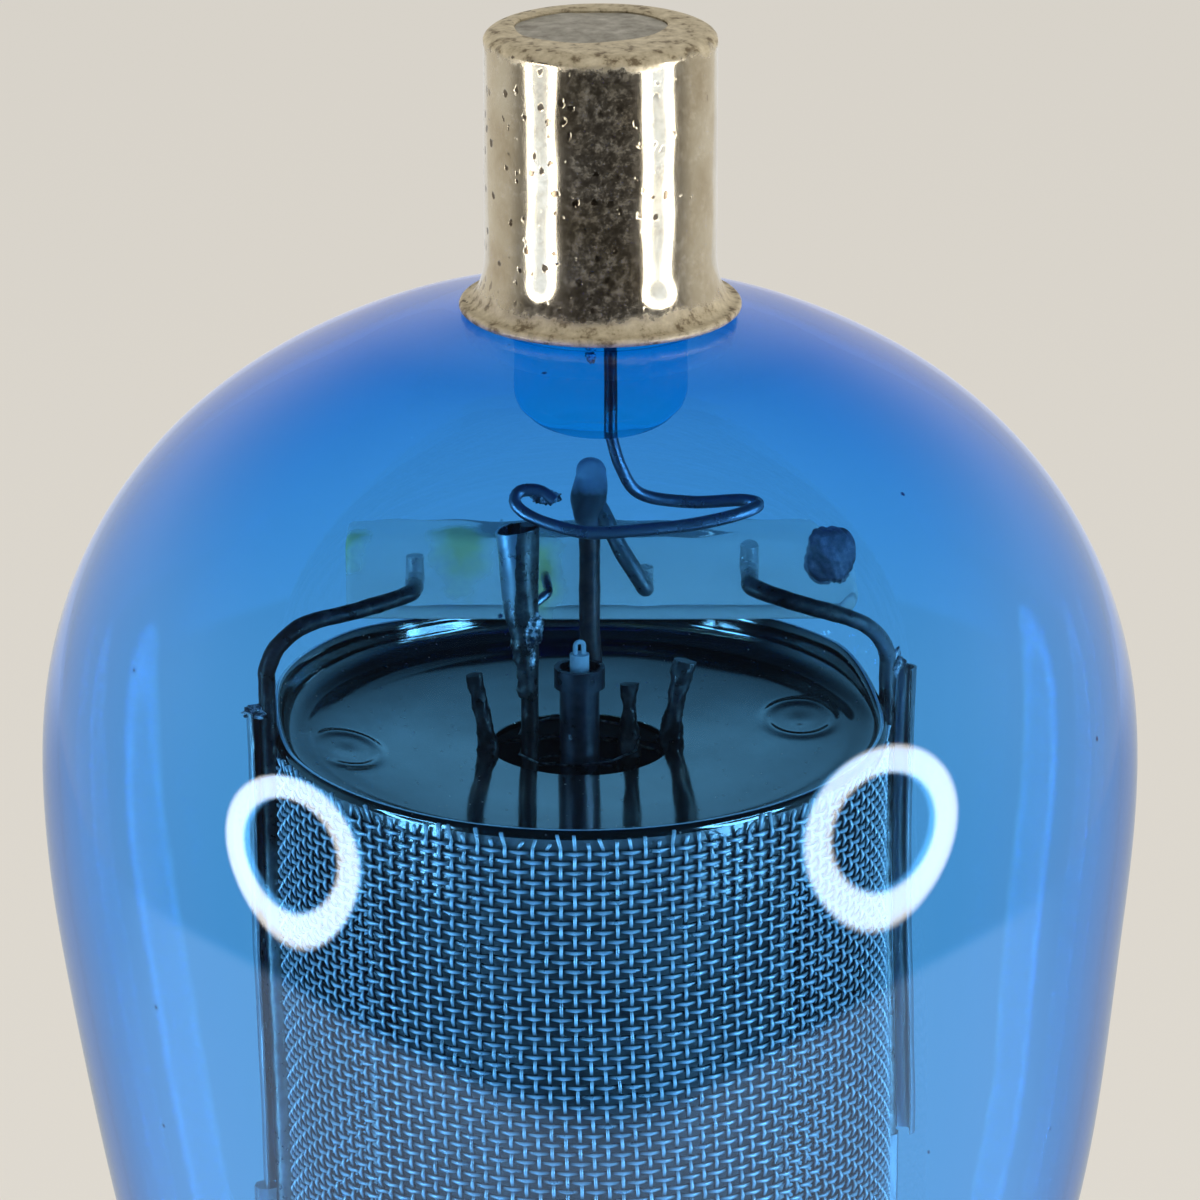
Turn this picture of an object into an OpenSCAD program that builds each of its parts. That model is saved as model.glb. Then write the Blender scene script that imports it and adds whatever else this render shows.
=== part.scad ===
// Screen-grid tetrode tube: a blue glass bulb on a five-pin base, with a metal cap on top.
// Lengths are in millimetres and angles in degrees. The tube stands on its pin tips at z = 0.
// The bulb's axis is Z, and the electrodes' supports stand in the X-Z plane.

/* [Base] */
// Length of a base pin below the shell
pin_len = 15.9; // [12:0.1:18]
// Radius of a base pin
pin_r = 1.5875; // [1.4:0.0125:1.8]
// Wall of a base pin
pin_wall = 0.5; // [0.4:0.05:0.6]
// Radius of the circle that the pins stand on
pin_circle_r = 9.525; // [9:0.025:10.5]
// Height of the moulded shell
shell_h = 29; // [26:0.5:34]
// Wall of the moulded shell
shell_wall = 2; // [1.5:0.1:2.6]
// Floor of the moulded shell
shell_floor = 3; // [2:0.1:4]
// Height of the raised band round the shell's mouth
band_h = 3.2; // [2:0.1:6]
// How far that band stands out
band_out = 0.35; // [0.2:0.05:0.8]

/* [Bulb] */
// Height of the bulb's apex above the shell
bulb_rise = 74.24; // [72:0.01:80]
// Largest radius of the bulb
bulb_r = 21.73; // [21:0.01:23]
// Radius of the arc over the bulb's crown
crown_r = 25.4; // [24:0.1:28]
// Radius of the arc round the bulb's shoulder
shoulder_r = 17; // [15:0.1:18]
// Radius of the arc just below the widest place
belly_r = 56; // [50:1:64]
// Lean of the glass where that arc ends
belly_lean = 8.2; // [7:0.1:9]
// Radius of the long arc down the lower part
taper_r = 208; // [190:1:230]
// Lean of the glass where the lower part ends
taper_lean = 14; // [13:0.1:16]
// Radius of the neck
neck_r = 15; // [14.6:0.05:15.6]
// Radius of the hollow curve into the neck
neck_blend_r = 30; // [20:1:36]
// Height of the cement ring round the neck
cement_h = 11.5; // [8:0.5:14]
// Thickness of the bulb's glass
bulb_wall = 0.8; // [0.6:0.05:1]
// Length of the neck inside the shell
neck_in = 18; // [16:0.5:20]
// Gap between the neck and the shell, filled with cement
neck_gap = 0.35; // [0.2:0.05:0.6]
// Radius of the thick glass button under the crown
button_r = 3.4; // [2.8:0.1:4]
// Depth of the button below the crown
button_h = 4.6; // [3.5:0.1:6]

/* [Top cap] */
// Outer radius of the cap
cap_r = 4.58; // [4.4:0.01:4.8]
// Height of the cap above the crown's highest point
cap_rise = 10.9; // [9:0.1:13]
// Sheet of the cap
cap_wall = 0.35; // [0.25:0.05:0.5]
// Rounding of the cap's shoulder
cap_round = 0.8; // [0.5:0.05:1.2]
// Outer radius of the flared skirt
skirt_r = 5.5; // [5.2:0.05:6]
// Radius of the solder in the cap's top
solder_r = 3; // [2:0.1:3.5]
// How far the cap stands off the bulb's axis
cap_shift = 0.42; // [0:0.01:0.8]

/* [Stem] */
// Height of the press's top above the shell
press_rise = 11.1; // [9:0.1:12]
// Width of the press
press_w = 22.4; // [22:0.1:24]
// Thickness of the press
press_t = 4.4; // [4:0.1:5]
// Height of the press
press_h = 10; // [9:0.1:12]
// Radius of the stem tube below the press
stem_r = 4.6; // [4.3:0.1:5]
// Glass wall of the stem
stem_wall = 1; // [0.8:0.05:1.1]
// Radius of the sealed exhaust tube
exhaust_r = 1.3; // [1.1:0.05:1.5]
// How far the electrodes stand off the bulb's axis
mount_shift = -0.42; // [-0.8:0.01:0]

/* [Outer screen] */
// Gap between the press and the screen's bottom disc
screen_gap = 7; // [6:0.1:9]
// Height of the outer screen
screen_h = 38.3; // [34:0.1:40]
// Outer radius of the woven wall
mesh_r = 12.5; // [12:0.05:12.8]
// Thickness of the woven wall
mesh_t = 0.34; // [0.26:0.02:0.5]
// Rows of narrow openings in the woven wall
slot_rows = 5; // [3:1:5]
// Openings in each row
slot_columns = 24; // [12:1:24]
// Width of an opening
slot_w = 0.8; // [0.4:0.05:1]
// Sheet of the lid and the bottom disc
lid_t = 0.25; // [0.2:0.01:0.35]
// Height of the lid's rim above its floor
rim_h = 0.9; // [0.7:0.05:1.2]
// Length of the turned edge inside the woven wall
flange_h = 3.3; // [2:0.1:5]
// Radius of the hole in the lid
lid_hole_r = 3.6; // [3.5:0.05:3.9]
// Distance of the pressed dimples from the centre
dimple_x = 9.8; // [9.2:0.1:9.9]
// Radius of a pressed dimple
dimple_r = 1.85; // [1.4:0.05:2]
// Radius of the side sleeves
sleeve_r = 0.55; // [0.5:0.01:0.6]
// Length of the side sleeves
sleeve_h = 20.7; // [15:0.1:24]
// How far the side sleeves stand above the rim
sleeve_rise = 1.7; // [1:0.1:3]
// Distance of the support rods from the centre at the press
support_in = 10.2; // [9.9:0.1:10.4]

/* [Plate] */
// Inner radius of the plate
plate_r = 7.6; // [7.2:0.1:8]
// Sheet of the plate
plate_t = 0.25; // [0.15:0.01:0.35]
// Height of the plate
plate_h = 32; // [28:0.5:34]
// Gap between the plate and the bottom disc
plate_gap = 3; // [2:0.1:4]
// Radius of the plate's rods
plate_rod_r = 0.45; // [0.35:0.01:0.5]

/* [Grids] */
// Distance of the inner screen's rods from the centre
screen_rod_x = 3.75; // [3.7:0.05:4]
// Radius of the inner screen's rods
screen_rod_r = 0.35; // [0.3:0.01:0.4]
// Height of the rod stubs above the lid
stub_h = 3.1; // [2:0.1:4]
// Outward lean of the stubs at their tips
stub_lean = 0.55; // [0.1:0.05:0.8]
// Pitch of the inner screen's winding
screen_pitch = 1.3; // [1.2:0.05:2]
// Wire radius of the inner screen's winding
screen_wire_r = 0.08; // [0.05:0.01:0.1]
// Distance of the control grid's posts from the centre
post_x = 2.03; // [1.95:0.01:2.2]
// Radius of the control grid's posts
post_r = 0.35; // [0.3:0.01:0.4]
// Height of the tall post above the rim
tall_post_h = 8.7; // [8:0.1:9.5]
// Height of the short post above the rim
short_post_h = 1.4; // [1:0.1:2]
// Pitch of the control grid's winding
grid_pitch = 0.87; // [0.8:0.01:1.4]
// Wire radius of the control grid's winding
grid_wire_r = 0.06; // [0.04:0.01:0.08]
// Length of the sleeve on the tall post
tab_h = 3.5; // [2:0.1:4]

/* [Cathode and heater] */
// Outer radius of the cathode
cathode_r = 0.8; // [0.6:0.05:0.9]
// Wall of the cathode
cathode_wall = 0.12; // [0.08:0.01:0.15]
// Height of the cathode above the rim
cathode_rise = 2.3; // [1.5:0.1:3]
// Outer radius of the collar on the cathode
collar_r = 1.02; // [1:0.01:1.1]
// Height of the collar
collar_h = 0.85; // [0.6:0.05:1.2]
// Radius of the heater's insulator
insulator_r = 0.39; // [0.36:0.01:0.42]
// How far the insulator stands above the collar
insulator_rise = 0.55; // [0.4:0.05:1]
// Radius of the coated heater wire
heater_r = 0.1; // [0.08:0.01:0.11]

/* [Glass bar] */
// Length of the bar
bar_len = 20.5; // [19:0.1:21]
// Height of the bar
bar_h = 3.1; // [2.8:0.1:3.6]
// Thickness of the bar
bar_t = 3; // [2.6:0.1:3.6]
// Height of the bar's underside above the rim
bar_rise = 3.9; // [3.7:0.1:4.2]
// Distance from the electrodes' axis back to the bar's face
bar_back = 1.85; // [1.8:0.05:2]
// How far the bar's middle stands to the side
bar_side = 0.9; // [0.7:0.1:1.1]
// Turn of the bar about the bulb's axis
bar_turn = -12; // [-14:0.5:-10]
// Radius of the stay wires
stay_r = 0.35; // [0.3:0.01:0.36]
// Radius of the bead on the centre stay
bead_r = 0.58; // [0.5:0.01:0.65]
// Height of the bead
bead_h = 2.8; // [2.4:0.1:3.2]

/* [Leads] */
// Radius of the wires to the base pins
lead_r = 0.3; // [0.2:0.01:0.35]
// Radius of the wire to the top cap
grid_lead_r = 0.25; // [0.2:0.01:0.3]

/* [Hidden] */
$fn = 64;

// Heights of the main levels
shell_top = pin_len + shell_h;
apex_z = shell_top + bulb_rise;
seal_z = shell_top - neck_in;
press_z = shell_top + press_rise;
press_foot = press_z - press_h;
screen_z = press_z + screen_gap;
rim_z = screen_z + screen_h;
floor_z = rim_z - rim_h;

// Centres of the bulb's arcs, each found from the one above it
crown_z = apex_z - crown_r;
shoulder_x = bulb_r - shoulder_r;
shoulder_z = crown_z + sqrt(pow(crown_r - shoulder_r, 2) - pow(shoulder_x, 2));
shoulder_a = atan2(shoulder_z - crown_z, shoulder_x);
belly_x = bulb_r - belly_r;
taper_x = belly_x + (belly_r - taper_r) * cos(belly_lean);
taper_z = shoulder_z + (taper_r - belly_r) * sin(belly_lean);
taper_end = [taper_x + taper_r * cos(taper_lean), taper_z - taper_r * sin(taper_lean)];
neck_drop = (taper_end[0] - neck_r - neck_blend_r * (1 - cos(taper_lean))) / tan(taper_lean);
neck_z = taper_end[1] - neck_drop - neck_blend_r * sin(taper_lean);

// Places of the cap and of the electrodes, which both stand a little off the bulb's axis
side_way = [cos(bar_turn), sin(bar_turn), 0];
cap_at = cap_shift * side_way;
mount_at = mount_shift * side_way;
cap_top = apex_z + cap_rise;

// Sizes that follow from the ones above
shell_in_r = neck_r + neck_gap;
shell_r = shell_in_r + shell_wall;
pin_bore_r = pin_r - pin_wall;
pin_shank_r = pin_r - pin_wall / 2;
pin_tip_hole_r = 0.6;
pin_flange = 0.6;
cement_drop = 0.5;
rod_overlap = 4;
sheath_r = mesh_r - mesh_t;
side_x = mesh_r + sleeve_r;
sleeve_top = rim_z + sleeve_rise;
sleeve_foot = sleeve_top - sleeve_h;
plate_rod_x = plate_r + plate_t + plate_rod_r;
collar_top = rim_z + cathode_rise + 0.35;
cathode_foot = press_z + 5;
insulator_top = collar_top + insulator_rise;
rod_depth = 4;
lip_h = 0.36;
seat = 0.02;
bar_z = rim_z + bar_rise;

// Points along an arc from one angle to another
function arc(x, z, r, from, to, steps) =
    [for (i = [0:steps]) let (a = from + (to - from) * i / steps) [x + r * cos(a), z + r * sin(a)]];

// Points on a smooth curve that passes through every point of a list
function smooth(p, steps) = concat(
    [for (i = [0:len(p) - 2], j = [0:steps - 1])
        let (a = p[max(i - 1, 0)], b = p[i], c = p[i + 1], d = p[min(i + 2, len(p) - 1)], t = j / steps)
        (2 * b + (c - a) * t + (2 * a - 5 * b + 4 * c - d) * t * t + (3 * b - a - 3 * c + d) * t * t * t) / 2],
    [p[len(p) - 1]]);

// Half of the bulb's section, with each arc drawn back by the given inset
function bulb_side(inset) = concat(
    arc(0, crown_z, crown_r - inset, 90, shoulder_a, 14),
    arc(shoulder_x, shoulder_z, shoulder_r - inset, shoulder_a, 0, 12),
    arc(belly_x, shoulder_z, belly_r - inset, 0, -belly_lean, 4),
    arc(taper_x, taper_z, taper_r - inset, -belly_lean, -taper_lean, 5),
    arc(neck_r + neck_blend_r, neck_z, neck_blend_r + inset, 180 - taper_lean, 180, 5),
    [[neck_r - inset, seal_z]]);

function reversed(p) = [for (i = [len(p) - 1:-1:0]) p[i]];
function unit(v) = v / norm(v);

// A round wire along a path: a ring of points about each point of the path, joined by triangles.
// The direction named up must lie across the whole path.
module wire(path, r, up, sides = 8) {
    last = len(path) - 1;
    rings = [for (i = [0:last])
        let (t = unit(path[min(i + 1, last)] - path[max(i - 1, 0)]), s = unit(cross(t, up)), w = cross(t, s))
        for (k = [0:sides - 1]) path[i] + r * (cos(360 * k / sides) * s + sin(360 * k / sides) * w)];
    skin = [for (i = [0:last - 1], k = [0:sides - 1])
        let (a = i * sides + k, b = i * sides + (k + 1) % sides)
        each [[a, a + sides, b + sides], [a, b + sides, b]]];
    ends = [[for (k = [0:sides - 1]) k], [for (k = [sides - 1:-1:0]) last * sides + k]];
    polyhedron(points = rings, faces = concat(skin, ends), convexity = 10);
}

// A round winding that climbs about Z between two heights
module winding(r, foot, top, pitch, wire_r, steps) {
    count = round((top - foot) / pitch * steps);
    path = [for (i = [0:count]) let (a = 360 * i / steps) [r * cos(a), r * sin(a), foot + pitch * i / steps]];
    wire(path, wire_r, [0, 0, 1], 4);
}

// What stands on the stem, and what is also turned in line with the glass bar
module on_mount() translate(mount_at) children();
module by_bar() on_mount() rotate([0, 0, bar_turn]) children();

// The place of a point of the mount's X axis, seen in the bar's turned frame
function in_bar(x, z) = [x * cos(bar_turn), -x * sin(bar_turn), z];

// The blown bulb, with the glass button under its crown that seals the wire to the cap
module bulb() color([0.13, 0.4, 0.85, 0.35]) {
    root = 0.8;
    tip = 1.3;
    inner = crown_r - bulb_wall;
    root_z = crown_z + sqrt(inner * inner - pow(button_r + root, 2)) - 0.05;
    foot_z = apex_z - bulb_wall - button_h;
    difference() {
        union() {
            rotate_extrude($fn = 128) polygon(concat(bulb_side(0), reversed(bulb_side(bulb_wall))));
            translate(cap_at) rotate_extrude() polygon(concat(
                [[0, apex_z - 1.5 * bulb_wall / 2], [0, foot_z]],
                arc(button_r - tip, foot_z + tip, tip, -90, 0, 5),
                arc(button_r + root, root_z - root, root, 180, 90, 4),
                [[button_r + root, root_z + bulb_wall / 4]]));
        }
        grid_lead_way();
    }
}

// The straight way of the cap's wire through the cement and the glass
lead_side = 0.8;
lead_top = cap_top - cap_wall;
module grid_lead_way() rotate([0, 0, bar_turn]) translate([lead_side, 0, apex_z - button_h - 3])
    cylinder(r = grid_lead_r, h = lead_top - apex_z + button_h + 3, $fn = 24);

// The glass stem: a flare sealed into the neck, a tube, the flat press and the exhaust tube
module glass_stem() color([0.55, 0.72, 0.9, 0.4]) {
    flare_r = neck_r - bulb_wall;
    curve_r = flare_r - stem_r;
    rim = 1.5;
    curve_z = seal_z + rim + curve_r;
    tip_z = shell_top - 20;
    slab_z = press_foot + 3;
    difference() {
        union() {
            rotate_extrude() polygon(concat(
                [[flare_r, seal_z], [flare_r, seal_z + rim]],
                arc(flare_r, curve_z, curve_r, -90, -180, 8),
                [[stem_r, press_foot + 1], [stem_r - stem_wall, press_foot + 1]],
                arc(flare_r, curve_z, curve_r + stem_wall, -180, -95, 8),
                [[flare_r - stem_wall, seal_z]]));
            hull() {
                translate([0, 0, press_foot]) cylinder(r = stem_r, h = 1, $fn = 32);
                for (s = [-1, 1]) translate([s * (press_w - press_t) / 2, 0, slab_z])
                    cylinder(d = press_t, h = press_z - slab_z, $fn = 24);
            }
            translate([0, 0, tip_z]) cylinder(r = exhaust_r, h = press_foot - tip_z);
            translate([0, 0, tip_z]) sphere(r = exhaust_r);
        }
        translate([0, 0, tip_z]) cylinder(r = exhaust_r / 2, h = press_foot - tip_z + 1);
        for (a = pin_angles) rotate([0, 0, a]) translate([lead_in_r, 0, press_foot - 1])
            cylinder(r = lead_r, h = 1 + lead_sunk, $fn = 16);
        on_mount() translate([0, 0, press_z - rod_depth]) {
            for (s = [-1, 1]) {
                translate([s * support_in, 0, 0]) cylinder(r = support_r, h = rod_depth + 1, $fn = 24);
                translate([s * plate_rod_x, 0, 0]) cylinder(r = plate_rod_r, h = rod_depth + 1, $fn = 24);
                translate([s * screen_rod_x, 0, 0]) cylinder(r = screen_rod_r, h = rod_depth + 1, $fn = 24);
                translate([s * post_x, 0, 0]) cylinder(r = post_r, h = rod_depth + 1, $fn = 24);
                translate([s * heater_leg_x, heater_leg_y, 0]) cylinder(r = heater_r, h = rod_depth + 1, $fn = 16);
            }
            translate([0, cathode_rod_y, 0]) cylinder(r = cathode_rod_r, h = rod_depth + 1, $fn = 24);
        }
    }
}

// The plated cap: a drawn cup with a flared skirt, open at the top for the solder
module top_cap() color([0.72, 0.68, 0.6]) translate(cap_at) rotate_extrude($fn = 96) {
    flare = skirt_r - cap_r;
    foot = crown_z + sqrt(crown_r * crown_r - pow(skirt_r + cap_shift, 2)) + seat + 0.25;
    in_r = cap_r - cap_wall;
    polygon(concat(
        [[skirt_r, foot], [skirt_r, foot + cap_wall]],
        arc(skirt_r, foot + cap_wall + flare, flare, -90, -180, 6),
        arc(cap_r - cap_round, cap_top - cap_round, cap_round, 0, 90, 6),
        [[solder_r, cap_top], [solder_r, cap_top - cap_wall]],
        arc(cap_r - cap_round, cap_top - cap_round, cap_round - cap_wall, 90, 0, 6),
        [[in_r, foot + cap_wall + flare]],
        arc(skirt_r, foot + cap_wall + flare, flare + cap_wall, -180, -92, 6)));
}

// The solder that closes the cap's top round the end of the grid wire
module cap_solder() color([0.5, 0.49, 0.48]) difference() {
    sunk = 0.12;
    translate(cap_at) rotate_extrude() polygon(concat(
        [[0, cap_top - cap_wall - 0.5], [solder_r - 0.4, cap_top - cap_wall - 0.5],
            [solder_r, cap_top - cap_wall], [solder_r, cap_top - sunk]],
        [[solder_r / 2, cap_top - sunk / 2], [0, cap_top - sunk / 2]]));
    grid_lead_way();
}

// The cement that holds the cap on the crown
module cap_cement() color([0.75, 0.7, 0.6]) {
    fill_r = cap_r - cap_wall - seat;
    fill_h = 2.4;
    edge_drop = 1;
    difference() {
        translate(cap_at + [0, 0, apex_z - edge_drop]) cylinder(r = fill_r, h = edge_drop + fill_h);
        rotate_extrude() polygon(concat([[0, apex_z - 2 * edge_drop]],
            reversed(arc(0, crown_z, crown_r + seat, 90, 74, 8))));
        grid_lead_way();
    }
}

// The moulded base shell, with a hole in its floor for each pin
module base_shell() color([0.16, 0.1, 0.07]) {
    edge = 1;
    difference() {
        rotate_extrude($fn = 96) polygon(concat(
            [[0, pin_len]],
            arc(shell_r - edge, pin_len + edge, edge, -90, 0, 5),
            [[shell_r, shell_top - band_h], [shell_r + band_out, shell_top - band_h + band_out]],
            arc(shell_r + band_out - 0.4, shell_top - 0.4, 0.4, 0, 90, 3),
            [[shell_in_r, shell_top], [shell_in_r, pin_len + shell_floor], [0, pin_len + shell_floor]]));
        at_pins() translate([0, 0, pin_len - 1]) cylinder(r = pin_shank_r, h = shell_floor + 2);
    }
}

// The ring of cement between the neck and the shell
module base_cement() color([0.62, 0.55, 0.45]) rotate_extrude() {
    top = shell_top - cement_drop;
    polygon([[neck_r + seat, top - cement_h], [shell_in_r - seat, top - cement_h],
        [shell_in_r - seat, top], [neck_r + seat, top + neck_gap / 2]]);
}

// The five pins, numbered round from the heater's pair
pin_angles = [-120, -60, 0, 90, 180];
module at_pins() for (a = pin_angles) rotate([0, 0, a]) translate([pin_circle_r, 0, 0]) children();

// One hollow pin: a rounded tip with a hole for the wire, a thinner shank and a flange inside the shell
module pin(a) color([0.75, 0.72, 0.65]) rotate([0, 0, a]) translate([pin_circle_r, 0, 0])
    rotate_extrude() {
        tip = 0.5;
        top = pin_len + shell_floor;
        polygon(concat(
            [[pin_tip_hole_r, 0]],
            arc(pin_r - tip, tip, tip, -90, 0, 5),
            [[pin_r, pin_len], [pin_shank_r, pin_len], [pin_shank_r, top], [pin_r + pin_flange, top],
                [pin_r + pin_flange, top + 0.5], [pin_bore_r, top + 0.5], [pin_bore_r, tip], [pin_tip_hole_r, tip]]));
    }
module heater_pin_a() pin(pin_angles[0]);
module heater_pin_b() pin(pin_angles[1]);
module plate_pin() pin(pin_angles[2]);
module screen_pin() pin(pin_angles[3]);
module cathode_pin() pin(pin_angles[4]);

// The solder in the tips of the pins, just short of their ends
module pin_solder() color([0.6, 0.6, 0.6]) at_pins() rotate_extrude() polygon([
    [lead_r, 0.25], [pin_tip_hole_r, 0.25], [pin_tip_hole_r, 0.5], [pin_bore_r, 0.5],
    [pin_bore_r, 2.6], [lead_r, 3]]);

// One wire from the press down through the stem into its pin
lead_in_r = 2.45;
lead_sunk = 2;
module lead(a) color([0.45, 0.25, 0.15]) rotate([0, 0, a]) {
    top = [lead_in_r, 0, press_foot + lead_sunk - seat];
    path = [[lead_in_r, 0, seal_z + 10], [lead_in_r + 0.5, 0, seal_z + 5.5],
        [(lead_in_r + pin_circle_r) / 2, 0, seal_z + 1], [pin_circle_r - 0.9, 0, seal_z - 3],
        [pin_circle_r, 0, seal_z - 6], [pin_circle_r, 0, pin_len], [pin_circle_r, 0, 1]];
    wire(concat([top], smooth(path, 3)), lead_r, [0, 1, 0], 6);
}
module heater_lead_a() lead(pin_angles[0]);
module heater_lead_b() lead(pin_angles[1]);
module plate_lead() lead(pin_angles[2]);
module screen_lead() lead(pin_angles[3]);
module cathode_lead() lead(pin_angles[4]);

// The wire from the cap: straight through the glass, round one flat loop, to the tall post's top
module grid_lead() color([0.3, 0.27, 0.25]) rotate([0, 0, bar_turn]) {
    weld = in_bar(-post_x, rim_z + tall_post_h + grid_lead_r + 5 * seat) + [mount_shift, 0, 0];
    straight = [[lead_side, 0, lead_top], [lead_side, 0, apex_z - button_h - bulb_wall]];
    near = [
        [lead_side, 0, apex_z - button_h - bulb_wall - 0.2],
        [lead_side + 0.4, 0.15, apex_z - 7], [2, 0.5, apex_z - 8.2], [4, 0.9, apex_z - 8.65],
        [6, 0.8, apex_z - 8.55], [6.65, 0.3, apex_z - 8.6]];
    back = [
        weld + [8.2, 0.1, 0], weld + [6.4, -0.35, -0.25], weld + [4.4, -0.7, -0.35], weld + [2.4, -0.75, -0.45],
        weld + [1, -0.45, -0.25], weld, weld + [-0.55, 0.35, 0.4], weld + [-0.35, 0.7, 0.75],
        weld + [0.4, 0.75, 0.75], weld + [1, 0.6, 0.4]];
    wire(concat(straight, smooth(concat(near, back), 3)), grid_lead_r, [0.1, 0.99, 0.12], 8);
}

// The dished lid, with its rolled rim, turned edge, hole, notches for the rods and two dimples
module screen_lid() color([0.45, 0.5, 0.58]) on_mount() {
    bead = 0.23;
    lip_r = mesh_r - 0.14;
    fillet = 0.55;
    wall_r = lip_r - 2 * bead;
    edge_r = sheath_r - seat;
    difference() {
        union() {
            rotate_extrude($fn = 96) polygon(concat(
                [[lid_hole_r, floor_z - lid_t], [lid_hole_r, floor_z]],
                arc(wall_r - fillet, floor_z + fillet, fillet, -90, 0, 5),
                arc(lip_r - bead, rim_z - bead, bead, 180, 0, 6),
                [[lip_r, rim_z - lip_h + seat], [edge_r, rim_z - lip_h], [edge_r, rim_z - flange_h - 0.3],
                    [edge_r - lid_t, rim_z - flange_h - 0.3], [edge_r - lid_t, floor_z - 2 * lid_t],
                    [edge_r - 2 * lid_t, floor_z - lid_t]]));
            for (s = [-1, 1]) translate([s * dimple_x, 0, floor_z]) rotate_extrude() polygon(concat(
                [[dimple_r / 3, -lid_t / 2], [dimple_r / 3, 0]],
                arc(dimple_r * 0.68, 0, dimple_r * 0.32, 150, 10, 6), [[dimple_r, -lid_t / 2]]));
        }
        for (s = [-1, 1]) {
            translate([s * screen_rod_x, 0, floor_z - 1]) cylinder(r = screen_rod_r, h = 2, $fn = 24);
            translate([s * dimple_x, 0, floor_z - lid_t / 3]) cylinder(r = dimple_r / 3, h = 1);
        }
    }
}

// The bottom disc, which closes the woven wall below and lets the plate's rods through
module screen_bottom() color([0.42, 0.46, 0.52]) on_mount() {
    edge_r = sheath_r - seat;
    rod_gap = 0.7;
    difference() {
        rotate_extrude($fn = 96) polygon([
            [lid_hole_r, screen_z], [edge_r, screen_z], [edge_r, screen_z + flange_h],
            [edge_r - lid_t, screen_z + flange_h], [edge_r - lid_t, screen_z + lid_t],
            [lid_hole_r, screen_z + lid_t]]);
        for (s = [-1, 1]) {
            translate([s * screen_rod_x, 0, screen_z - 1]) cylinder(r = screen_rod_r, h = 2, $fn = 24);
            translate([s * plate_rod_x, 0, screen_z - 1]) cylinder(r = plate_rod_r + rod_gap, h = 2, $fn = 24);
        }
    }
}

// The woven wall: ridges like wires round its outside, and rows of narrow openings between its uprights
module screen_mesh() color([0.5, 0.58, 0.68]) on_mount() {
    top = rim_z - lip_h;
    ridge = mesh_t / 3;
    row_pitch = (top - screen_z) / slot_rows;
    row_ridges = 5;
    ridge_pitch = row_pitch / row_ridges;
    slot_h = row_pitch - ridge_pitch;
    difference() {
        rotate_extrude($fn = 96) polygon(concat(
            [[sheath_r, screen_z], [mesh_r - ridge, screen_z]],
            [for (i = [0:row_ridges * slot_rows - 1]) let (z = screen_z + ridge_pitch * (i + 0.5))
                each [[mesh_r - ridge, z - ridge_pitch / 4], [mesh_r, z - ridge_pitch / 15],
                    [mesh_r, z + ridge_pitch / 15], [mesh_r - ridge, z + ridge_pitch / 4]]],
            [[mesh_r - ridge, top], [sheath_r, top]]));
        for (i = [0:slot_columns - 1], j = [0:slot_rows - 1])
            rotate([0, 0, 360 / slot_columns * (i + 0.5)])
                translate([mesh_r, 0, screen_z + row_pitch * (j + 0.5)])
                    cube([4 * mesh_t, slot_w, slot_h], center = true);
    }
}

// A side sleeve: a strip folded round the stay wire, open towards the front and the middle
module sleeve(side) color([0.5, 0.55, 0.62]) on_mount() translate([side * side_x, 0, sleeve_foot]) difference() {
    cylinder(r = sleeve_r, h = sleeve_h, $fn = 32);
    translate([0, 0, -1]) cylinder(r = stay_r + seat, h = sleeve_h + 2, $fn = 32);
    rotate([0, 0, side > 0 ? 150 : -60]) translate([0, 0, -1]) cube([2, 2, sleeve_h + 2]);
}
module left_sleeve() sleeve(-1);
module right_sleeve() sleeve(1);

// A support rod, from the press out to the woven wall and up to its side sleeve
support_r = 0.5;
module support(side) color([0.4, 0.4, 0.42]) on_mount() {
    path = [[support_in, 0, press_z - rod_depth], [support_in, 0, press_z + 1], [support_in + 0.3, 0, press_z + 2.2],
        [side_x - 0.3, 0, screen_z - 1.9], [side_x, 0, screen_z - 0.8], [side_x, 0, sleeve_foot]];
    wire([for (p = path) [side * p[0], p[1], p[2]]], support_r, [0, 1, 0], 8);
}
module left_support() support(-1);
module right_support() support(1);

// The plate: a plain cylinder stiffened by two pressed rings
module plate() color([0.2, 0.2, 0.22]) on_mount() {
    foot = screen_z + plate_gap;
    ring = 0.6;
    out = plate_r + plate_t;
    lift = 0.35;
    rings = [foot + 0.2 * plate_h, foot + 0.8 * plate_h];
    rotate_extrude($fn = 96) polygon(concat(
        [[out, foot]],
        [for (z = rings) each [[out, z - ring], [out - lift, z], [out, z + ring]]],
        [[out, foot + plate_h], [plate_r, foot + plate_h]],
        [for (z = reversed(rings)) each [[plate_r, z + ring], [plate_r - lift, z], [plate_r, z - ring]]],
        [[plate_r, foot]]));
}

// A rod that carries the plate from the press
module plate_rod(side) color([0.4, 0.4, 0.42]) on_mount() translate([side * plate_rod_x, 0, press_z - rod_depth])
    cylinder(r = plate_rod_r, h = rod_depth + screen_gap + plate_gap + plate_h - 1, $fn = 24);
module left_plate_rod() plate_rod(-1);
module right_plate_rod() plate_rod(1);

// The inner screen's winding, which runs round the outside of its two rods
module inner_screen() color([0.55, 0.58, 0.62]) on_mount()
    winding(screen_rod_x + screen_rod_r + screen_wire_r + seat, screen_z + 2 * lid_t + 0.5, floor_z - lid_t - 0.6,
        screen_pitch, screen_wire_r, 12);

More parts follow.
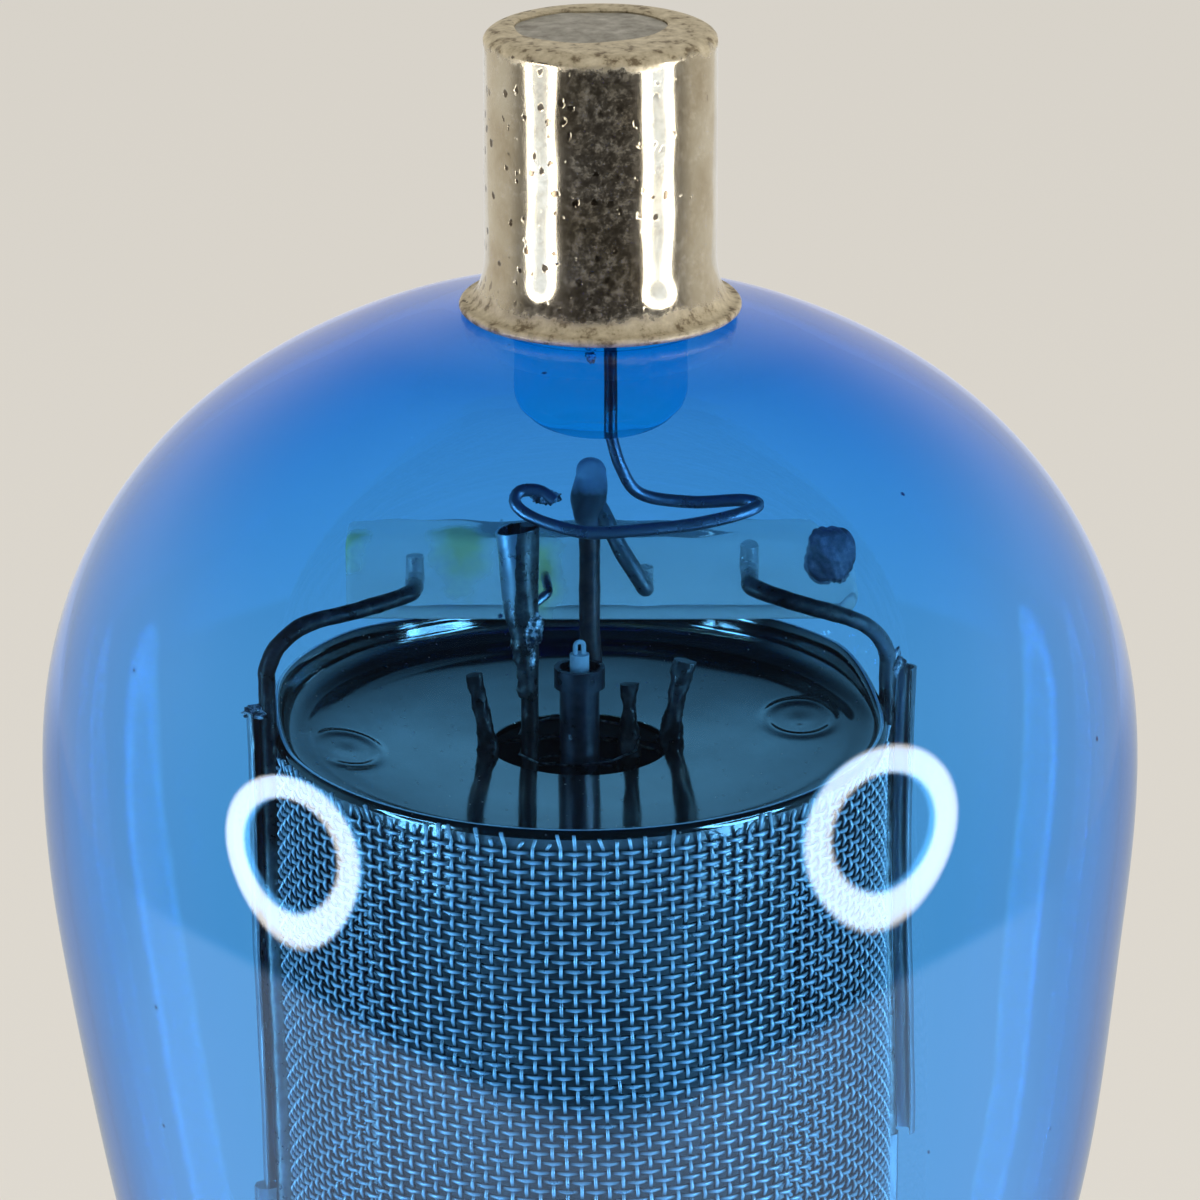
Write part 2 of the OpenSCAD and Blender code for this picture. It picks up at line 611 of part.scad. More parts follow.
// A rod of the inner screen, whose flattened end leans out above the lid
module screen_rod(side) color([0.12, 0.12, 0.14]) on_mount() {
    path = [[screen_rod_x, 0, press_z - rod_depth], [screen_rod_x, 0, floor_z + 0.3],
        [screen_rod_x + 0.2 * stub_lean, 0, floor_z + 0.35 * stub_h], [screen_rod_x + stub_lean, 0, floor_z + stub_h]];
    wire([for (p = path) [side * p[0], p[1], p[2]]], screen_rod_r, [0, 1, 0], 10);
}
module left_screen_rod() screen_rod(-1);
module right_screen_rod() screen_rod(1);

// The control grid's winding, which runs round the outside of its two posts
module control_grid() color([0.6, 0.6, 0.62]) on_mount()
    winding(post_x + post_r + grid_wire_r + seat, screen_z + 2, rim_z - 0.2, grid_pitch, grid_wire_r, 10);

// The tall post goes up to the cap's wire, and the short one ends just above the lid
module post(side, top) color([0.16, 0.15, 0.15]) on_mount() translate([side * post_x, 0, press_z - rod_depth])
    cylinder(r = post_r, h = top - press_z + rod_depth, $fn = 24);
module tall_post() post(-1, rim_z + tall_post_h);
module short_post() post(1, rim_z + short_post_h);

// The folded tab on the tall post, wide at the top and drawn in to the post at its foot
module post_sleeve() color([0.3, 0.33, 0.36]) on_mount() {
    top = rim_z + tall_post_h - 0.35;
    slope = 0.12;
    translate([-post_x, 0, top - tab_h]) difference() {
        hull() {
            cylinder(r = post_r + slope, h = 0.1, $fn = 24);
            translate([0, 0, tab_h - 0.1]) {
                cylinder(r = post_r + slope, h = 0.1, $fn = 24);
                translate([-0.75, 0.1, 0]) cylinder(r = 0.3, h = 0.1, $fn = 24);
            }
        }
        translate([0, 0, -1]) cylinder(r = post_r + seat, h = tab_h + 2, $fn = 24);
        translate([-0.7, 0.05, tab_h - 1.2]) cylinder(r = 0.16, h = 2, $fn = 16);
    }
}

// The cathode's tube and the collar round its top
module cathode() color([0.3, 0.32, 0.36]) on_mount() translate([0, 0, cathode_foot]) difference() {
    height = collar_top - 0.35 - cathode_foot;
    cylinder(r = cathode_r, h = height, $fn = 48);
    translate([0, 0, -1]) cylinder(r = cathode_r - cathode_wall, h = height + 2, $fn = 48);
}
module cathode_collar() color([0.28, 0.32, 0.38]) on_mount() translate([0, 0, collar_top - collar_h]) difference() {
    cylinder(r = collar_r, h = collar_h, $fn = 48);
    translate([0, 0, -1]) cylinder(r = cathode_r + seat / 2, h = collar_h + 2, $fn = 48);
}

// The short rod that carries the cathode from the press
cathode_rod_r = 0.28;
cathode_rod_y = cathode_r + cathode_rod_r;
module cathode_rod() color([0.4, 0.4, 0.42]) on_mount() translate([0, cathode_rod_y, press_z - rod_depth])
    cylinder(r = cathode_rod_r, h = rod_depth + cathode_foot - press_z + rod_overlap, $fn = 24);

// The twin-bored insulator and the hairpin heater that runs through it
heater_bore_x = 0.17;
heater_leg_x = 0.8;
heater_leg_y = -0.7;
module heater_insulator() color([0.9, 0.9, 0.88]) on_mount() translate([0, 0, cathode_foot - 0.6]) difference() {
    height = insulator_top - cathode_foot + 0.6;
    cylinder(r = insulator_r, h = height, $fn = 32);
    for (s = [-1, 1]) translate([s * heater_bore_x, 0, -1]) cylinder(r = heater_r, h = height + 2, $fn = 16);
}
module heater() color([0.85, 0.85, 0.83]) on_mount() {
    loop_h = 0.35;
    leg = [[heater_leg_x, heater_leg_y, press_z - rod_depth], [heater_leg_x, heater_leg_y, press_z + 1],
        [heater_bore_x, 0, cathode_foot - 1.2], [heater_bore_x, 0, insulator_top + loop_h]];
    bow = [for (a = [30:30:150]) [heater_bore_x * cos(a), 0, insulator_top + loop_h + heater_bore_x * sin(a)]];
    other = [for (p = reversed(leg)) [-p[0], p[1], p[2]]];
    wire(concat(leg, bow, other), heater_r, [0, 1, 0], 8);
}

// Where each wire enters the bar's face, as its place along the bar and its height up the face
left_entry = [-6.6, 1.6];
right_entry = [6.8, 2];
middle_entry = [2.6, 1.65];
loop_entry = [-1.35, 1.5];
entry_in = 1.1;
hook_up = 0.9;
loop_r = 0.2;

// The way of a wire inside the glass: in from the face, then a short hook upwards
module hook_way(entry, r) translate([entry[0], bar_back, bar_z + entry[1]]) {
    translate([0, -1, 0]) rotate([-90, 0, 0]) cylinder(r = r, h = 1 + entry_in, $fn = 24);
    translate([0, entry_in, 0]) {
        sphere(r = 1.2 * r, $fn = 24);
        cylinder(r = r, h = hook_up, $fn = 24);
    }
}

// The last points of a wire that ends in the bar, for its own path
function hook(entry, r) = let (p = [entry[0], bar_back, bar_z + entry[1]])
    [p + [0, 0.1, 0], p + [0, entry_in - 0.35 * r, 0], p + [0, entry_in, 0.35 * r], p + [0, entry_in, hook_up]];

// The clear bar: a slab with one corner cut, and a swelling of glass round each wire
module glass_bar() color([0.7, 0.8, 0.85, 0.4]) by_bar() {
    left = bar_side - bar_len / 2;
    cut = 1.9;
    swell_r = 0.75;
    difference() {
        union() {
            translate([left, bar_back + bar_t, bar_z]) rotate([90, 0, 0]) linear_extrude(bar_t)
                polygon([[0, 0], [bar_len - 0.6, 0], [bar_len, 0.6], [bar_len, bar_h - 1], [bar_len - cut, bar_h], [0, bar_h]]);
            for (e = [left_entry, middle_entry, right_entry, loop_entry])
                translate([e[0], bar_back + 0.45, bar_z + e[1]]) sphere(r = swell_r, $fn = 32);
        }
        for (e = [left_entry, middle_entry, right_entry]) hook_way(e, stay_r);
        hook_way(loop_entry, loop_r);
    }
}

// The lump of fused glass and ash on the bar's right end
module bar_lump() color([0.35, 0.33, 0.32]) by_bar() {
    end_x = bar_side + bar_len / 2;
    difference() {
        translate([end_x - 1.45, bar_back + 0.2, bar_z + bar_h]) {
            translate([-0.3, 0, -0.1]) sphere(r = 0.85, $fn = 32);
            translate([0.25, 0, -0.2]) sphere(r = 0.9, $fn = 32);
            translate([0.15, 0, -0.95]) sphere(r = 0.75, $fn = 32);
        }
        translate([end_x - bar_len, bar_back - seat, bar_z]) cube([bar_len - 1.9, bar_t, bar_h + seat]);
        translate([end_x, bar_back + bar_t, bar_z]) rotate([90, 0, 0]) linear_extrude(bar_t + seat)
            polygon([[-2.5, 0], [0, 0], [0, bar_h - 1 + seat], [-1.9, bar_h + seat], [-2.5, bar_h + seat]]);
    }
}

// The stay wires, each from its side sleeve over the lid's edge into the bar
module left_stay() color([0.1, 0.1, 0.12]) by_bar() {
    foot = in_bar(-side_x, 0);
    mouth = sleeve_top;
    path = concat(
        [foot + [0, 0, sleeve_foot + 0.1], foot + [0, 0, mouth - 1], foot + [0, 0, mouth + 1]],
        smooth([foot + [0.05, 0, mouth + 1.7], foot + [0.5, 0.2, mouth + 2.6], foot + [1.6, 0.7, mouth + 3.35],
            foot + [3.55, 1.7, mouth + 3.6], foot + [5.4, 3.2, mouth + 3.75],
            [left_entry[0], bar_back - 0.5, bar_z + left_entry[1]]], 3),
        hook(left_entry, stay_r));
    wire(path, stay_r, unit([-0.55, 0.35, 0.05]), 8);
}
module right_stay() color([0.1, 0.1, 0.12]) by_bar() {
    foot = in_bar(side_x, 0);
    mouth = sleeve_top;
    path = concat(
        [foot + [0, 0, sleeve_foot + 0.1], foot + [0, 0, mouth - 1], foot + [0, 0, mouth]],
        smooth([foot + [-0.05, -0.15, mouth + 0.6], foot + [-0.5, -1, mouth + 1.7], foot + [-1.5, -2, mouth + 2.7],
            foot + [-3.9, -2.6, mouth + 3.65], foot + [-5.5, -2.1, mouth + 4.1],
            [right_entry[0], bar_back - 0.5, bar_z + right_entry[1]]], 3),
        hook(right_entry, stay_r));
    wire(path, stay_r, unit([0.55, 0.35, 0.05]), 8);
}

// The centre stay, which stands behind the cathode's collar and carries the bead
stay_top = bar_z + bar_h + 1.3;
stay_y = bar_back - 0.42;
module centre_stay() color([0.12, 0.11, 0.11]) by_bar() {
    wire([[0.5, stay_y, collar_top - collar_h + 0.1], [0.35, stay_y, bar_z], [0.4, stay_y, stay_top + 1]],
        0.38, [0, 1, 0], 10);
}

// The rounded bead of glass that joins the centre stay to the wire from the bar
module stay_bead() color([0.6, 0.63, 0.66, 0.6]) by_bar() translate([0.4, stay_y, stay_top]) difference() {
    union() {
        cylinder(r = bead_r, h = bead_h - bead_r, $fn = 32);
        translate([0, 0, bead_h - bead_r]) sphere(r = bead_r, $fn = 32);
    }
    translate([-0.01, 0, -1]) cylinder(r = 0.39, h = 2.02, $fn = 32);
    translate([0, 0, 1.1]) cylinder(r = stay_r, h = 0.9, $fn = 24);
    translate([0, 0, 1.55]) rotate([0, 90, 0]) cylinder(r = 1.05 * stay_r, h = 2, $fn = 24);
}

// The thick wire from the bead down into the bar
module bar_wire() color([0.1, 0.1, 0.11]) by_bar() {
    from = [0.4, stay_y, stay_top + 1.55];
    path = concat([from, from + [0.45, 0, 0]], smooth([from + [0.62, 0, 0], from + [1, -0.1, -0.5], from + [1.2, -0.3, -2],
        from + [1.65, -0.4, -3.3], [middle_entry[0], bar_back - 0.5, bar_z + middle_entry[1]]], 3),
        hook(middle_entry, stay_r));
    wire(path, stay_r - seat / 2, unit([-0.55, 0.6, 0.2]), 8);
}

// The short wire that ties the tall post to the bar
module post_loop() color([0.35, 0.36, 0.34]) by_bar() {
    from = [loop_entry[0], bar_back, bar_z + loop_entry[1]];
    weld = in_bar(-post_x, bar_z + loop_entry[1] - 0.3) + [0, post_r + 0.14 + loop_r, 0];
    path = concat(reversed(hook(loop_entry, loop_r)), smooth([from + [0, -0.35, 0], from + [0.1, -0.9, -0.35],
        from + [-0.1, -1.2, -0.5], weld], 3));
    wire(path, loop_r - seat / 2, unit([1, 0.05, 0.1]), 6);
}

// The getter's cup, carried by a wire from the bottom disc
getter_y = 8.8;
getter_r = 2;
getter_sheet = 0.2;
getter_drop = 5;
getter_wire_r = 0.3;
module getter_cup() color([0.5, 0.5, 0.5])
    on_mount() translate([0, getter_y + getter_sheet + getter_wire_r, screen_z - getter_drop + getter_r / 2])
    rotate([-90, 0, 0]) difference() {
        cylinder(r = getter_r, h = 0.7 * getter_r, $fn = 48);
        translate([0, 0, getter_sheet]) cylinder(r = getter_r - getter_sheet, h = getter_r, $fn = 48);
    }
module getter_wire() color([0.4, 0.4, 0.42]) on_mount() translate([0, getter_y + getter_sheet, screen_z - getter_drop])
    cylinder(r = getter_wire_r, h = getter_drop, $fn = 24);

bulb();
glass_stem();
top_cap();
cap_solder();
cap_cement();
base_shell();
base_cement();
heater_pin_a();
heater_pin_b();
plate_pin();
screen_pin();
cathode_pin();
pin_solder();
heater_lead_a();
heater_lead_b();
plate_lead();
screen_lead();
cathode_lead();
grid_lead();
screen_lid();
screen_mesh();
screen_bottom();
left_sleeve();
right_sleeve();
left_support();
right_support();
plate();
left_plate_rod();
right_plate_rod();
inner_screen();
left_screen_rod();
right_screen_rod();
control_grid();
tall_post();
short_post();
post_sleeve();
cathode();
cathode_collar();
cathode_rod();
heater_insulator();
heater();
glass_bar();
bar_lump();
left_stay();
right_stay();
centre_stay();
stay_bead();
bar_wire();
post_loop();
getter_cup();
getter_wire();
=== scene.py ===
import math

import bpy
import numpy as np
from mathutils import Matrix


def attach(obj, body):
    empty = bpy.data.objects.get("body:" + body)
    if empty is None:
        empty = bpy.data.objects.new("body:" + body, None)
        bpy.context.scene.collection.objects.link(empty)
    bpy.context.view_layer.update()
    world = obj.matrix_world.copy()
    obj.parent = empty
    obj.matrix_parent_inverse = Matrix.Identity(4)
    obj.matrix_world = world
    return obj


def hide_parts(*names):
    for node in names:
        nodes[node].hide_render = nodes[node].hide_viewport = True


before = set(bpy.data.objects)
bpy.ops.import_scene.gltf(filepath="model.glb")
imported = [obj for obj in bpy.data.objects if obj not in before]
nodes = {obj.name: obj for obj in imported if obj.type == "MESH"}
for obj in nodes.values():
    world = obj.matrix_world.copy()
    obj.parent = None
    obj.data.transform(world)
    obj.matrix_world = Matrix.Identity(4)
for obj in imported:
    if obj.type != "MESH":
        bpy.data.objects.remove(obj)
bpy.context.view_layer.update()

scene = bpy.context.scene


# The camera stands in front of the tube, a little to its left, and looks down on the bulb's crown.
# Its long lens shows the cap, the crown and the upper half of the woven screen.
view_azimuth, view_elevation = math.radians(-12.0), math.radians(19.3)
view_distance, view_height, view_side = 0.28, 0.1065, 0.0004
front_way = np.array([math.sin(view_azimuth), -math.cos(view_azimuth), 0.0])
view_right = np.array([math.cos(view_azimuth), math.sin(view_azimuth), 0.0])
view_back = front_way * math.cos(view_elevation) + (0.0, 0.0, math.sin(view_elevation))
view_up = np.cross(view_back, view_right)
stand = view_right * view_side + view_back * view_distance + (0.0, 0.0, view_height)
lens = bpy.data.cameras.new("camera")
lens.lens, lens.sensor_width = 210.0, 36.0
lens.clip_start, lens.clip_end = 0.01, 20.0
camera = bpy.data.objects.new("camera", lens)
scene.collection.objects.link(camera)
pose = np.eye(4)
pose[:3] = np.stack([view_right, view_up, view_back, stand], 1)
camera.matrix_world = pose.T.tolist()
scene.camera = camera
scene.view_settings.view_transform = "Standard"


# The room: a pale sheet under and behind the tube, a dim room round it, and two ring lamps in front.
# What the eye sees past or through the glass is the pale sheet; reflections show the darker room.
pale, cool = (0.760, 0.722, 0.655), (0.780, 0.840, 0.845)


def shade_of(value):
    """A grey or a colour, made an opaque colour."""
    return (value, value, value, 1) if isinstance(value, (int, float)) else (*value, 1)


class Nodes:
    """Short ways to add nodes to one tree."""

    def __init__(self, tree):
        self.tree = tree

    def add(self, kind, inputs, **settings):
        """Adds a node with its settings, links or sets its inputs, and gives its outputs."""
        node = self.tree.nodes.new("ShaderNode" + kind)
        for name, value in settings.items():
            setattr(node, name, value)
        for name, value in inputs.items():
            socket = node.inputs[name]
            if isinstance(value, bpy.types.NodeSocket):
                self.tree.links.new(value, socket)
            else:
                socket.default_value = {"RGBA": shade_of, "VECTOR": tuple}.get(socket.type, float)(value)
        return node.outputs

    def sum(self, operation, *values):
        """One step of arithmetic between sockets or plain numbers."""
        return self.add("Math", dict(enumerate(values)), operation=operation)[0]

    def step(self, value, start, end, last=1.0, first=0.0):
        """A value eased from the first number at its start to the last at its end."""
        inputs = {"Value": value, "From Min": start, "From Max": end, "To Min": first, "To Max": last}
        return self.add("MapRange", inputs, interpolation_type="SMOOTHSTEP")[0]

    def toward(self, place, way):
        """The dot product of a place or direction with one fixed direction."""
        return self.add("VectorMath", {0: place, 1: way}, operation="DOT_PRODUCT")["Value"]

    def distance(self, place, centre):
        return self.add("VectorMath", {0: place, 1: centre}, operation="DISTANCE")["Value"]

    def mix(self, factor, first, second):
        """Two greys, colours or sockets, mixed by a factor."""
        return self.add("Mix", {0: factor, 6: first, 7: second}, data_type="RGBA")[2]

    def ramp(self, factor, *stops):
        """A run of greys or colours along a factor."""
        node = self.tree.nodes.new("ShaderNodeValToRGB")
        self.tree.links.new(factor, node.inputs[0])
        elements = node.color_ramp.elements
        while len(elements) < len(stops):
            elements.new(0.5)
        for element, (position, value) in zip(elements, stops):
            element.position, element.color = position, shade_of(value)
        return node.outputs[0]

    def emission(self, colour, strength=1.0):
        return self.add("Emission", {"Color": colour, "Strength": strength})[0]

    def both(self, first, second):
        return self.add("AddShader", {0: first, 1: second})[0]

    def either(self, factor, first, second):
        return self.add("MixShader", {0: factor, 1: first, 2: second})[0]

    def seen_straight(self):
        """1 where the eye looks straight at a surface, or through clear glass at it, and 0 in a
        reflection. The second answer is 1 only through glass."""
        path = self.add("LightPath", {})
        unreflected = self.sum("LESS_THAN", path["Glossy Depth"], 0.5)
        through = self.sum("MULTIPLY", path["Is Transmission Ray"], unreflected)
        return self.sum("MAXIMUM", path["Is Camera Ray"], through), through

    def room_shade(self, ahead):
        """What reflections meet at eye level and below: pale behind and at the sides, dark in front. The
        factor is the cosine of the angle from straight ahead of the tube."""
        dim, dark, darkest = (0.52, 0.49, 0.435), (0.065, 0.060, 0.056), (0.030, 0.028, 0.027)
        frontward = self.sum("MULTIPLY_ADD", ahead, 0.5, 0.5)
        return self.ramp(frontward, (0.0, pale), (0.40, dim), (0.62, dark), (1.0, darkest))


def room_light():
    """The world: pale to the eye. In reflections its walls fade to a dark ceiling."""
    scene.world = bpy.data.worlds.new("room")
    scene.world.use_nodes = True
    air = Nodes(scene.world.node_tree)
    air.tree.nodes.clear()
    way = air.add("TexCoord", {})["Generated"]
    walls = air.room_shade(air.toward(way, front_way))
    height = air.step(air.toward(way, (0, 0, 1)), 0.16, 0.74)
    room = air.add("Background", {"Color": air.mix(height, walls, (0.035, 0.034, 0.034))})[0]
    straight, through = air.seen_straight()
    plain = air.add("Background", {"Color": air.mix(through, pale, cool)})[0]
    air.add("OutputWorld", {0: air.either(straight, room, plain)})


def put_mesh(name, points, faces, caps=np.zeros((0, 4), int)):
    """A smooth mesh of points in millimetres. Faces and caps are rows of corner numbers."""
    corners = np.concatenate([faces.ravel(), caps.ravel()])
    sizes = np.repeat([faces.shape[1], caps.shape[1]], [len(faces), len(caps)])
    mesh = bpy.data.meshes.new(name)
    mesh.vertices.add(len(points))
    mesh.vertices.foreach_set("co", (points * 0.001).astype(np.float32).ravel())
    mesh.loops.add(len(corners))
    mesh.loops.foreach_set("vertex_index", corners.astype(np.int32))
    mesh.polygons.add(len(sizes))
    mesh.polygons.foreach_set("loop_start", (np.cumsum(sizes) - sizes).astype(np.int32))
    mesh.update(calc_edges=True)
    mesh.validate()
    mesh.shade_smooth()
    piece = bpy.data.objects.new(name, mesh)
    scene.collection.objects.link(piece)
    return piece


def inside_out(points, corners):
    """Whether a closed surface has a negative volume, by the sum of (a x b) . c over its corners."""
    a, b, c = (points[corners[:, k]] for k in range(3))
    return np.einsum("ij,ij->", np.cross(a, b), c) < 0


def skin(name, grid, ring_rows=False, ends=True, crease=None):
    """Makes a mesh of a grid of points: point (i, j) joins (i + 1, j), (i + 1, j + 1) and (i, j + 1). Each
    row is a ring, and the rows may close into one too. Each open end gets a fan about its mean point. A
    skin whose volume comes out negative is turned the right way out. Edges sharper than the crease, in
    degrees, stay sharp."""
    rows, columns = grid.shape[:2]
    points = grid.reshape(-1, 3)
    number = np.arange(rows * columns).reshape(rows, columns)
    low, high = (number, np.roll(number, -1, 0)) if ring_rows else (number[:-1], number[1:])
    quads = np.stack([low, np.roll(low, -1, 1), np.roll(high, -1, 1), high], -1).reshape(-1, 4)
    fans = np.zeros((0, 3), int)
    if ends and not ring_rows:
        first, last = number[0], number[-1]
        points = np.vstack([points, grid[0].mean(0), grid[-1].mean(0)])
        hub = np.full(columns, rows * columns)
        fans = np.vstack([np.stack([hub, np.roll(first, -1), first], -1),
                          np.stack([hub + 1, last, np.roll(last, -1)], -1)])
    if inside_out(points, np.vstack([quads[:, [0, 1, 2]], quads[:, [0, 2, 3]], fans])):
        quads, fans = quads[:, ::-1], fans[:, ::-1]
    piece = put_mesh(name, points, quads, fans)
    if crease:
        piece.data.set_sharp_from_angle(angle=math.radians(crease))
    return piece


def round_angles(steps):
    return np.linspace(0, 2 * math.pi, steps, endpoint=False)


def staged(piece):
    """Gives a piece of the room, which is no part of the tube, an empty material of its own."""
    material = bpy.data.materials.new(piece.name)
    material.use_nodes = True
    material.node_tree.nodes.clear()
    piece.data.materials.append(material)
    return material


def sheet_floor():
    """The floor: one flat square. To the eye it is pale all over and takes the tube's shadow. In
    reflections it is a lit table inside a rounded front edge, |x / 240 mm|^2.5 + (y / 205 mm)^2.5 < 1,
    where y runs forwards from 60 mm behind the tube, and takes the room's shade beyond it. The table is
    dimmer close behind the tube."""
    square = 1500.0 * np.array([[-1, -1, 0], [-1, 1, 0], [1, -1, 0], [1, 1, 0]])
    material = staged(put_mesh("floor", square, np.array([[0, 1, 3, 2]])))
    material.cycles.emission_sampling = "NONE"
    sheet = Nodes(material.node_tree)
    place = sheet.add("TexCoord", {})["Object"]
    ahead = sheet.toward(place, front_way)
    half_width, depth, behind = 0.240, 0.205, 0.06
    front = sheet.sum("MAXIMUM", sheet.sum("MULTIPLY_ADD", ahead, 1 / depth, behind / depth), 0.0)
    side = sheet.sum("MULTIPLY", sheet.sum("ABSOLUTE", sheet.toward(place, view_right)), 1 / half_width)
    spread = sheet.sum("ADD", sheet.sum("POWER", front, 2.5), sheet.sum("POWER", side, 2.5))
    outward = sheet.add("VectorMath", {0: place}, operation="NORMALIZE")[0]
    # Painted light: the table in front of the tube is tinted blue, as if lit through the blue bulb.
    table = (1.02, 1.13, 1.26)
    for near, far, colour in ((0.0, -0.11, (0.52, 0.55, 0.58)), (-0.24, -0.38, (0.80, 0.80, 0.80))):
        table = sheet.mix(sheet.step(ahead, near, far), table, colour)
    beyond = sheet.room_shade(sheet.toward(outward, front_way))
    glow = sheet.emission(sheet.mix(sheet.step(spread, 0.90, 1.06), table, beyond))
    straight, through = sheet.seen_straight()
    shadowed = sheet.add("BsdfDiffuse", {"Color": tuple(0.20 * v for v in pale)})[0]
    seen = sheet.both(sheet.emission(sheet.mix(through, pale, cool), 0.86), shadowed)
    sheet.add("OutputMaterial", {0: sheet.either(straight, glow, seen)})


def disc(name, centre, across, upward, radii, steps):
    """Rings of points about a centre: centre + r (cos a across + sin a upward)."""
    a = round_angles(steps)[:, None]
    spoke = np.cos(a) * across + np.sin(a) * upward
    return skin(name, np.stack([centre + r * spoke for r in radii]), ends=False)


def ring_lamp(name, centre, outer, inner, strength):
    """A ring lamp: a flat disc that faces the bulb, bright in a band round a clear middle. It lights the
    tube and shows in reflections, but isn't seen straight. Its band is brightest at the middle and fades
    to both edges. Its middle is filled in light that was mirrored twice inside the bulb, and glows
    faintly on metal that isn't a sharp mirror."""
    centre = np.array(centre)
    facing = np.array([0.0, 0.0, 102.0]) - centre
    facing /= np.linalg.norm(facing)
    across = np.cross((0.0, 0.0, 1.0), facing)
    across /= np.linalg.norm(across)
    lamp = disc(name, centre, across, np.cross(facing, across), (0.5, inner, outer), 96)
    band = Nodes(staged(lamp).node_tree)
    away = band.distance(band.add("TexCoord", {})["Object"], centre * 0.001)
    middle, half_band = (outer + inner) * 0.0005, (outer - inner) * 0.0005
    off = band.sum("ABSOLUTE", band.sum("SUBTRACT", away, middle))
    bright = band.step(off, 0.55 * half_band, half_band, 0.0, strength)
    inside = band.sum("LESS_THAN", away, middle)
    ray = band.add("LightPath", {})
    twice = band.sum("MULTIPLY", band.sum("GREATER_THAN", ray["Glossy Depth"], 1.5), 8.0)
    glow = band.emission((1.0, 0.97, 0.93), band.sum("MULTIPLY_ADD", inside, twice, bright))
    blurred = band.sum("MULTIPLY", inside, band.sum("LESS_THAN", ray["Is Singular Ray"], 0.5))
    haze = band.emission((0.74, 0.84, 1.0), band.sum("MULTIPLY", blurred, 1.3))
    clear = band.add("BsdfTransparent", {})[0]
    lit = band.both(band.both(glow, haze), clear)
    band.add("OutputMaterial", {0: band.either(band.seen_straight()[0], lit, clear)})
    lamp.visible_shadow = lamp.visible_camera = False


def ceiling_panel():
    """A wide soft panel 0.38 m over the floor. It lights matt surfaces from above and shows in nothing."""
    panel = disc("ceiling_panel", np.array([0.0, 0.0, 380.0]), (1, 0, 0), (0, 1, 0), (0.5, 260.0), 48)
    glow = Nodes(staged(panel).node_tree)
    glow.add("OutputMaterial", {0: glow.emission((1.0, 0.98, 0.95), 1.3)})
    panel.visible_camera = panel.visible_glossy = panel.visible_transmission = panel.visible_shadow = False


room_light()
sheet_floor()
ceiling_panel()
ring_lamp("left_ring_lamp", (-206.0, -67.0, 75.0), 61.5, 38.3, 15.5)
ring_lamp("right_ring_lamp", (160.5, -149.0, 92.5), 72.0, 42.5, 14.5)


# The bulb: blown blue glass with a thick button under its crown, where the cap's wire is sealed in.
# Its wall is about 0.8 mm thick, and small dark specks lie in the glass.
apex, seal_z, bulb_r, bulb_wall, belly_lean, taper_lean = 119.14, 26.9, 21.73, 0.8, 8.2, 14.0
crown_r, shoulder_r, belly_r, taper_r, neck_r, neck_blend_r = 25.4, 17.0, 56.0, 208.0, 15.0, 30.0
crown_z = apex - crown_r
shoulder_x = bulb_r - shoulder_r
shoulder_z = crown_z + math.sqrt((crown_r - shoulder_r) ** 2 - shoulder_x ** 2)
shoulder_a = math.degrees(math.atan2(shoulder_z - crown_z, shoulder_x))
turned_by = math.radians(-12.0)
bar_way = np.array([math.cos(turned_by), math.sin(turned_by), 0.0])
back_way = np.array([0.208, 0.978, 0.0])
off_axis = 0.42
cap_at, mount_at = off_axis * bar_way, -off_axis * bar_way


def arc(x, z, r, start, stop, steps):
    """Points (x + r cos a, z + r sin a) as a runs from start to stop, in degrees."""
    a = np.radians(np.linspace(start, stop, steps))
    return np.stack([x + r * np.cos(a), z + r * np.sin(a)], 1)


def run_along(path):
    """The length of a path up to each of its points."""
    return np.concatenate([[0], np.cumsum(np.linalg.norm(np.diff(path, axis=0), axis=1))])


def even_points(path, at):
    """The points of a path at the given lengths along it."""
    return np.stack([np.interp(at, run_along(path), column) for column in path.T], 1)


def bulb_side():
    """Half the bulb's section from the crown to the neck: five arcs, each tangent to the next, blurred
    along their length by a Gaussian of 2.2 mm so that the curvature changes smoothly."""
    belly, lean = math.radians(belly_lean), math.radians(taper_lean)
    belly_x = bulb_r - belly_r
    taper_x = belly_x + (belly_r - taper_r) * math.cos(belly)
    taper_z = shoulder_z + (taper_r - belly_r) * math.sin(belly)
    end_x, end_z = taper_x + taper_r * math.cos(lean), taper_z - taper_r * math.sin(lean)
    drop = (end_x - neck_r - neck_blend_r * (1 - math.cos(lean))) / math.tan(lean)
    neck_z = end_z - drop - neck_blend_r * math.sin(lean)
    half = np.vstack([
        arc(0, crown_z, crown_r, 90, shoulder_a, 90)[:-1],
        arc(shoulder_x, shoulder_z, shoulder_r, shoulder_a, 0, 70)[:-1],
        arc(belly_x, shoulder_z, belly_r, 0, -belly_lean, 20)[:-1],
        arc(taper_x, taper_z, taper_r, -belly_lean, -taper_lean, 30)[:-1],
        arc(neck_r + neck_blend_r, neck_z, neck_blend_r, 180 - taper_lean, 180, 12),
        [[neck_r, seal_z]]])
    whole = np.vstack([half[:0:-1] * (-1, 1), half])
    step, blur, reach = 0.25, 2.2, 9.0
    whole = even_points(whole, np.arange(0, run_along(whole)[-1], step))
    offset = np.arange(-int(reach / step), int(reach / step) + 1) * step
    weight = np.exp(-0.5 * (offset / blur) ** 2)
    blurred = np.stack([np.convolve(column, weight / weight.sum(), "valid") for column in whole.T], 1)
    side = blurred[blurred[:, 0] > 0.04][::3]
    side = side[side[:, 1] > seal_z + 1]
    side[:, 0] *= bulb_r / side[:, 0].max()
    side[:, 1] += apex - side[:, 1].max()
    return np.vstack([side, [[neck_r, seal_z]]])


def around(r, t, z):
    """The points (r cos t, r sin t, z)."""
    x = r * np.cos(t)
    return np.stack([x, r * np.sin(t), np.broadcast_to(z, x.shape)], -1)


